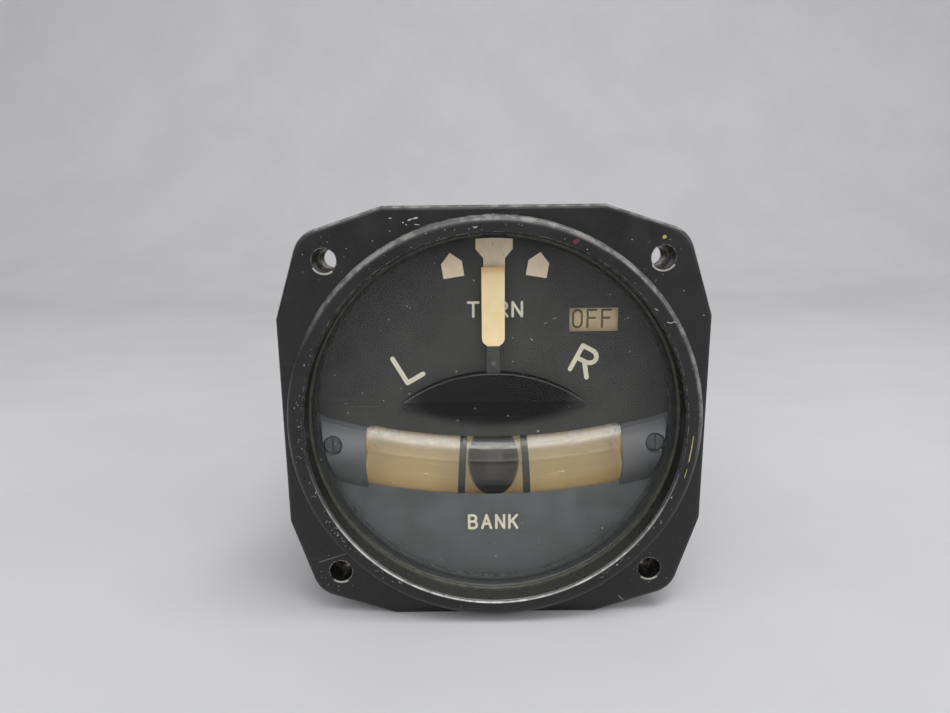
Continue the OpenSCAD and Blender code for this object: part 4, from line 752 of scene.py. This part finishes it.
def write(sheet, word, x, z, height, width, stroke, turn=0.0, slim=1.0):
    """A word centred at x, z, as tall and as wide as given, turned in degrees; slim narrows its letters."""
    parts = [LETTERS[c] for c in word]
    gap = 0.0
    body = sum(p[1] for p in parts) * height * slim
    if len(parts) > 1:
        gap = (width - stroke - body) / (len(parts) - 1)
    else:
        body = width - stroke
    pen = -(body + gap * (len(parts) - 1)) / 2
    tall = height - stroke
    for strokes, wide in parts:
        k = height * slim if len(parts) > 1 else body / wide
        for line, closed in strokes:
            flat = [(pen + px * k, pz * tall - tall / 2) for px, pz in line]
            sheet.band(turned(flat, x, z, turn), stroke, closed)
        pen += wide * k + gap


def turned(points, x, z, turn):
    """Points turned in degrees about their own origin, which then lies at x, z."""
    c = math.cos(math.radians(turn))
    s = math.sin(math.radians(turn))
    return [(x + px * c - pz * s, z + px * s + pz * c) for px, pz in points]


def chip(sheet, dice, x, z, length, width, turn):
    """One small ragged flake."""
    n = 9
    outline = []
    for i in range(n):
        a = 2 * math.pi * i / n
        k = dice.uniform(0.65, 1.0)
        outline.append((0.5 * length * k * math.cos(a), 0.5 * width * k * math.sin(a)))
    sheet.loop(turned(outline, x, z, turn))


# Dial print

def dial_print():
    """Legends, index marks, a painted highlight along the hood's edge, the stem's rivet and the flag's word.
    """
    words = Sheet(DIAL_Y, 0.03)
    write(words, "TURN", 0.4, 21.2, 3.3, 11.1, 0.5, slim=0.92)
    write(words, "L", -17.15, 9.85, 6.7, 4.6, 0.95, 30.0)
    write(words, "R", 18.35, 10.5, 6.3, 4.7, 0.92, -27.5)
    words.piece("dial_words", "housing", PRINT_WHITE)
    low = Sheet(MASK_Y, 0.03)
    write(low, "BANK", -0.2, -23.5, 3.4, 10.6, 0.52, slim=0.8)
    low.piece("mask_word", "housing", PRINT_WHITE)
    marks = Sheet(DIAL_Y, 0.03)
    tee = [(-2.1, 28.6), (2.1, 28.6), (2.1, 31.2), (3.6, 33.0), (3.6, 36.2), (-3.6, 36.2), (-3.6, 33.0),
           (-2.1, 31.2)]
    marks.loop(turned(tee, 0.15, 0.0, -0.2))
    house = [(-2.05, -2.3), (2.05, -2.3), (2.05, 0.6), (0.0, 2.5), (-2.05, 0.6)]
    for side in (-1, 1):
        marks.loop(turned(house, side * 8.4 + 0.45, 29.85, -side * 9.2 - 0.4))
    marks.piece("dial_index_marks", "housing", INDEX_CREAM)
    # Painted highlight: a light grey line where the hood's top edge catches the light.
    line = Sheet(HOOD_Y, 0.015)
    half = math.degrees(math.asin(ARCH_HALF / ARCH_R)) - 0.6
    line.band(arc(0.0, PIVOT_Z, ARCH_R - 0.13, ARCH_R - 0.13, 90 + half, 90 - half, 40), 0.13)
    line.piece("hood_edge_highlight", "housing", EDGE_LINE)
    rivet = Sheet(POINTER_Y, 0.06)
    rivet.loop(arc(0.0, 10.6, 0.42, 0.42, 0, 345, 23))
    rivet.piece("stem_rivet", "pointer", SCREW_GREY)
    flag = Sheet(FLAG_Y, 0.03)
    write(flag, "OFF", FLAG_X - 0.1, FLAG_Z, 3.9, 8.0, 0.42, slim=0.9)
    flag.piece("flag_word", "flag", FLAG_INK)


dial_print()


# Glass and liquid

def damping_liquid():
    """The clear liquid that fills the level; it laps a little into the wall of the tube."""
    rings, sides = 48, 40
    r = TUBE_IN_R + 0.04
    points, faces = [], []
    half = math.radians(TUBE_HALF_DEG - PLUG_DEG)
    for i in range(rings + 1):
        a = -half + 2 * half * i / rings
        for j in range(sides):
            b = 2 * math.pi * j / sides
            d = TUBE_ARC_R + r * math.cos(b)
            points.append((d * math.sin(a), TUBE_Y + r * math.sin(b), TUBE_ARC_Z - d * math.cos(a)))
    for i in range(rings):
        for j in range(sides):
            k = (j + 1) % sides
            faces.append([i * sides + j, i * sides + k, (i + 1) * sides + k, (i + 1) * sides + j])
    faces.append(list(reversed(range(sides))))
    faces.append([rings * sides + j for j in range(sides)])
    return add_piece("damping_liquid", points, faces, "housing", LIQUID, smooth=True,
                     shadow=False)


def tube_highlight():
    """A thin film on the upper front of the level that carries its painted highlight."""
    rings, sides = 48, 12
    points, faces = [], []
    half = math.radians(TUBE_HALF_DEG - 0.1)
    for r in (TUBE_R + 0.01, TUBE_R + 0.03):
        for i in range(rings + 1):
            a = -half + 2 * half * i / rings
            for j in range(sides + 1):
                b = math.radians(20 + 62 * j / sides)
                d = TUBE_ARC_R - r * math.sin(b)
                points.append((d * math.sin(a), TUBE_Y - r * math.cos(b), TUBE_ARC_Z - d * math.cos(a)))
    row = sides + 1
    skin = row * (rings + 1)
    for i in range(rings):
        for j in range(sides):
            k = i * row + j
            faces.append([k, k + 1, k + row + 1, k + row])
            faces.append([skin + k, skin + k + row, skin + k + row + 1, skin + k + 1])
    rim = list(range(row)) + [i * row + sides for i in range(1, rings + 1)]
    rim += [rings * row + j for j in reversed(range(sides))] + [i * row for i in reversed(range(1, rings))]
    for k, m in zip(rim, rim[1:] + rim[:1]):
        faces.append([m, k, skin + k, skin + m])
    return add_piece("tube_highlight", points, faces, "housing", TUBE_HIGHLIGHT, smooth=True,
                     shadow=False)


def glass_dust():
    """A thin dusty film on the front of the cover glass, inside the wire ring."""
    n = 96
    r = BORE_R - 0.6
    layers = (GLASS_Y - 0.03, GLASS_Y - 0.01)
    angles = [2 * math.pi * i / n for i in range(n)]
    points = [(0.0, y, 0.0) for y in layers]
    faces = []
    for y in layers:
        points += [(r * math.cos(a), y, r * math.sin(a)) for a in angles]
    for i in range(n):
        j = (i + 1) % n
        faces += [[0, 2 + i, 2 + j], [1, 2 + n + j, 2 + n + i], [2 + i, 2 + n + i, 2 + n + j, 2 + j]]
    return add_piece("glass_dust", points, faces, "housing", DUST, shadow=False)


def glass_crumbs():
    """The larger dust grains and lint that the photograph shows on the glass."""
    dice = random.Random(3)
    grains = Sheet(GLASS_Y - 0.035, 0.02)
    for x, z, length, width, turn in [
            (2.7, 0.9, 0.4, 0.3, 0), (8.6, -2.3, 0.6, 0.4, -10), (7.3, 16.0, 0.45, 0.25, -30),
            (7.0, 16.2, 0.2, 0.2, 0), (-16.4, 22.7, 0.5, 0.12, 30), (-15.8, 22.3, 0.35, 0.1, -50),
            (9.8, 19.2, 0.9, 0.1, 25), (11.6, 20.1, 1.1, 0.1, 27), (25.5, 20.0, 0.5, 0.15, 15),
            (24.9, 19.8, 0.25, 0.12, 0), (26.1, 13.5, 0.7, 0.1, 50), (-18.1, 6.6, 0.25, 0.2, 0),
            (-31.3, -4.5, 0.35, 0.3, 0), (-28.6, 1.8, 0.4, 0.15, 80), (-2.4, -6.0, 0.25, 0.2, 0),
            (-30.6, -4.9, 0.2, 0.15, 0)]:
        chip(grains, dice, x, z, length, width, turn)
    return grains.piece("glass_crumbs", "housing", PALE_CHIP)


damping_liquid()
tube_highlight()
glass_dust()
glass_crumbs()


# Wear marks that the photograph shows

def wear_marks():
    """Chips, scratches and paint spots on the flange and the ring."""
    dice = random.Random(7)
    pale = Sheet(FLANGE_Y, 0.015)
    for x, z, length, width, turn in [
            (-18.85, 39.0, 0.9, 0.25, 0), (-15.3, 38.7, 1.2, 0.35, 25), (-14.3, 38.95, 1.3, 0.4, 12),
            (-14.0, 37.8, 1.3, 0.25, -6), (-16.55, 38.2, 0.4, 0.3, -45), (-16.0, 37.8, 0.45, 0.2, -8),
            (-19.0, 36.7, 0.35, 0.2, -70), (-27.15, 33.6, 0.25, 0.2, 0), (-22.3, 34.95, 0.25, 0.2, 0),
            (25.45, 34.75, 0.35, 0.2, -15), (35.47, 25.2, 0.25, 0.2, 0), (39.5, 20.55, 0.3, 0.25, 0),
            (25.9, -38.1, 2.0, 0.14, -43)]:
        chip(pale, dice, x, z, length, width, turn)
    grit = random.Random(11)
    for x, z, count in [(-HOLE_X, HOLE_X, 9), (HOLE_X, HOLE_X, 9),
                        (-HOLE_X, -HOLE_X, 12), (HOLE_X, -HOLE_X, 12)]:
        for _ in range(count):
            a = grit.uniform(0.0, 2 * math.pi)
            d = grit.uniform(3.1, 4.7)
            chip(pale, grit, x + d * math.cos(a), z + d * math.sin(a), grit.uniform(0.12, 0.3), 0.12,
                 grit.uniform(0, 180))
    pale.piece("flange_scuffs", "housing", PALE_CHIP)
    scratch = Sheet(FLANGE_Y, 0.012)
    scratch.band([(-35.7, -29.4), (-33.0, -28.5), (-30.2, -27.6), (-27.8, -26.95)], 0.22)
    scratch.piece("flange_scratch", "housing", EDGE_LINE)
    rims = Sheet(FLANGE_Y, 0.012)
    for x, z, a0, a1, w in [(-HOLE_X, HOLE_X, 215, 305, 0.35), (HOLE_X, HOLE_X, 215, 325, 0.3),
                            (-HOLE_X, -HOLE_X, 235, 300, 0.4), (HOLE_X, -HOLE_X, 235, 310, 0.4)]:
        rims.band(arc(x, z, 2.46, 2.46, a0, a1, 14), w)
    rims.piece("hole_rim_wear", "housing", BARE_METAL)
    olive = Sheet(FLANGE_Y, 0.012)
    chip(olive, dice, 31.35, 35.1, 0.95, 0.9, 0)
    olive.piece("flange_paint_dot", "housing", OLIVE_CHIP)
    ring = Sheet(RING_Y, 0.012)
    for x, z, length, width, turn in [
            (-3.3, 37.3, 1.1, 0.3, 15), (29.4, 22.3, 1.0, 0.2, -30), (-19.1, -31.7, 0.5, 0.3, -25),
            (-34.6, -12.6, 0.4, 0.25, 60), (-30.9, -20.0, 0.35, 0.2, 50), (24.0, -28.4, 0.5, 0.2, 40),
            (34.0, -14.3, 0.4, 0.25, 60), (-36.9, 5.0, 0.3, 0.2, 0), (-35.2, 12.6, 0.4, 0.2, 70)]:
        chip(ring, dice, x, z, length, width, turn)
    for low, high, count in [(150, 240, 44), (298, 338, 16), (60, 125, 12)]:
        for _ in range(count):
            a = math.radians(grit.uniform(low, high))
            r = grit.uniform(BORE_R + 0.7, RING_R - 1.5)
            chip(ring, grit, r * math.cos(a), r * math.sin(a), grit.uniform(0.14, 0.4), 0.13,
                 grit.uniform(0, 180))
    ring.band([(31.5, 19.9), (32.2, 19.75), (32.8, 20.0), (33.2, 19.9)], 0.14)
    ring.piece("ring_chips", "housing", PALE_CHIP)
    streak = Sheet(RING_Y, 0.012)
    streak.band([(37.55, -2.0), (37.3, -4.6), (36.95, -7.0)], 0.2)
    streak.band([(36.7, -8.6), (36.3, -10.2)], 0.14)
    streak.piece("ring_streak", "housing", OLIVE_CHIP)
    red = Sheet(RING_Y, 0.01)
    chip(red, dice, 14.6, 34.6, 1.6, 0.9, 20)
    red.piece("ring_smear", "housing", RED_CHIP)


wear_marks()


# Details at the back

def connector_thread():
    """The coupling thread on the connector shell."""
    pitch, depth, steps = 1.27, 0.4, 40
    y0, y1 = CONNECTOR_Y0 + 1.6, CONNECTOR_Y1 - 0.5
    n = int((y1 - y0 - pitch) / pitch * steps)
    points, faces = [], []
    for i in range(n + 1):
        a = 2 * math.pi * i / steps
        y = y0 + pitch * i / steps
        fade = min(1.0, i / 10, (n - i) / 10)
        for dy, dr in ((0.05, -0.1), (0.45 * pitch, depth * fade), (0.6 * pitch, depth * fade),
                       (0.95 * pitch, -0.1)):
            r = CONNECTOR_R + dr
            points.append((r * math.cos(a), y + dy, CONNECTOR_Z + r * math.sin(a)))
    for i in range(n):
        for j in range(4):
            k = (j + 1) % 4
            faces.append([4 * i + j, 4 * i + 4 + j, 4 * i + 4 + k, 4 * i + k])
    faces.append([0, 1, 2, 3])
    faces.append([4 * n + 3, 4 * n + 2, 4 * n + 1, 4 * n])
    return add_piece("connector_thread", points, faces, "housing",
                     FINISHES["connector_olive"])


connector_thread()


# Floor, light and camera

def studio_floor():
    """A pale floor that rises into a backdrop behind the part."""
    low = cad_low.z / MM
    front, bend, radius, top, half, steps = -2500.0, 500.0, 400.0, 2200.0, 3000.0, 16
    profile = [(front, low), (bend, low)]
    profile += [(bend + radius * math.sin(a), low + radius * (1 - math.cos(a)))
                for a in [math.pi / 2 * i / steps for i in range(1, steps + 1)]]
    profile.append((bend + radius, low + top))
    points = [(x * MM, y * MM, z * MM) for x in (-half, half) for y, z in profile]
    n = len(profile)
    mesh = bpy.data.meshes.new("studio_floor")
    mesh.from_pydata(points, [], [[i, n + i, n + i + 1, i + 1] for i in range(n - 1)])
    mesh.shade_smooth()
    mat, tree, shader, mm = start_material("pale_floor")
    patch = place_group(tree, MOTTLE, (-900, 0), Vector=mm, Scale=0.01)
    tree.links.new(blend_colour(tree, patch, linear("#c6c6c8"), linear("#c1c1c3"), (-600, 0)),
                   shader.inputs["Base Color"])
    shader.inputs["Roughness"].default_value = 0.9
    mesh.materials.append(mat)
    obj = bpy.data.objects.new("studio_floor", mesh)
    bpy.context.scene.collection.objects.link(obj)


def lamp(name, at, size, power):
    """A rectangular lamp that shines at the middle of the flange."""
    data = bpy.data.lights.new(name, "AREA")
    data.shape = "RECTANGLE"
    data.size, data.size_y = size
    data.energy = power
    obj = bpy.data.objects.new(name, data)
    obj.location = at
    obj.rotation_mode = "QUATERNION"
    obj.rotation_quaternion = (-Vector(at)).to_track_quat("-Z", "Y")
    bpy.context.scene.collection.objects.link(obj)


def studio_light():
    """Soft even light from the sky, a large key lamp, an overhead lamp and a small fill."""
    world = bpy.data.worlds.new("studio")
    world.use_nodes = True
    back = world.node_tree.nodes["Background"]
    back.inputs["Color"].default_value = (0.4, 0.4, 0.405, 1.0)
    back.inputs["Strength"].default_value = 1.0
    bpy.context.scene.world = world
    lamp("key", (-0.35, -0.85, 0.85), (1.9, 1.5), 9.0)
    lamp("overhead", (0.22, -0.3, 1.06), (0.9, 0.32), 7.2)
    lamp("fill", (0.8, -0.7, 0.45), (0.5, 0.5), 2.5)


def photo_camera():
    """The camera that was found from the mounting holes."""
    turn = (Matrix.Rotation(CAMERA_YAW, 3, "Z") @ Matrix.Rotation(CAMERA_PITCH, 3, "X")
            @ Matrix.Rotation(CAMERA_ROLL, 3, "Y"))
    right, ahead, up = (turn @ Vector(v) for v in ((1, 0, 0), (0, 1, 0), (0, 0, 1)))
    data = bpy.data.cameras.new("photo_camera")
    data.sensor_width = 36.0
    data.lens = FOCAL_PX / IMAGE_W * data.sensor_width
    data.clip_start = 0.005
    obj = bpy.data.objects.new("photo_camera", data)
    place = Matrix((right, up, -ahead)).transposed().to_4x4()
    place.translation = Vector(CAMERA_AT) * MM
    obj.matrix_world = place
    bpy.context.scene.collection.objects.link(obj)
    bpy.context.scene.camera = obj


studio_floor()
studio_light()
photo_camera()
bpy.context.scene.view_settings.view_transform = "Standard"
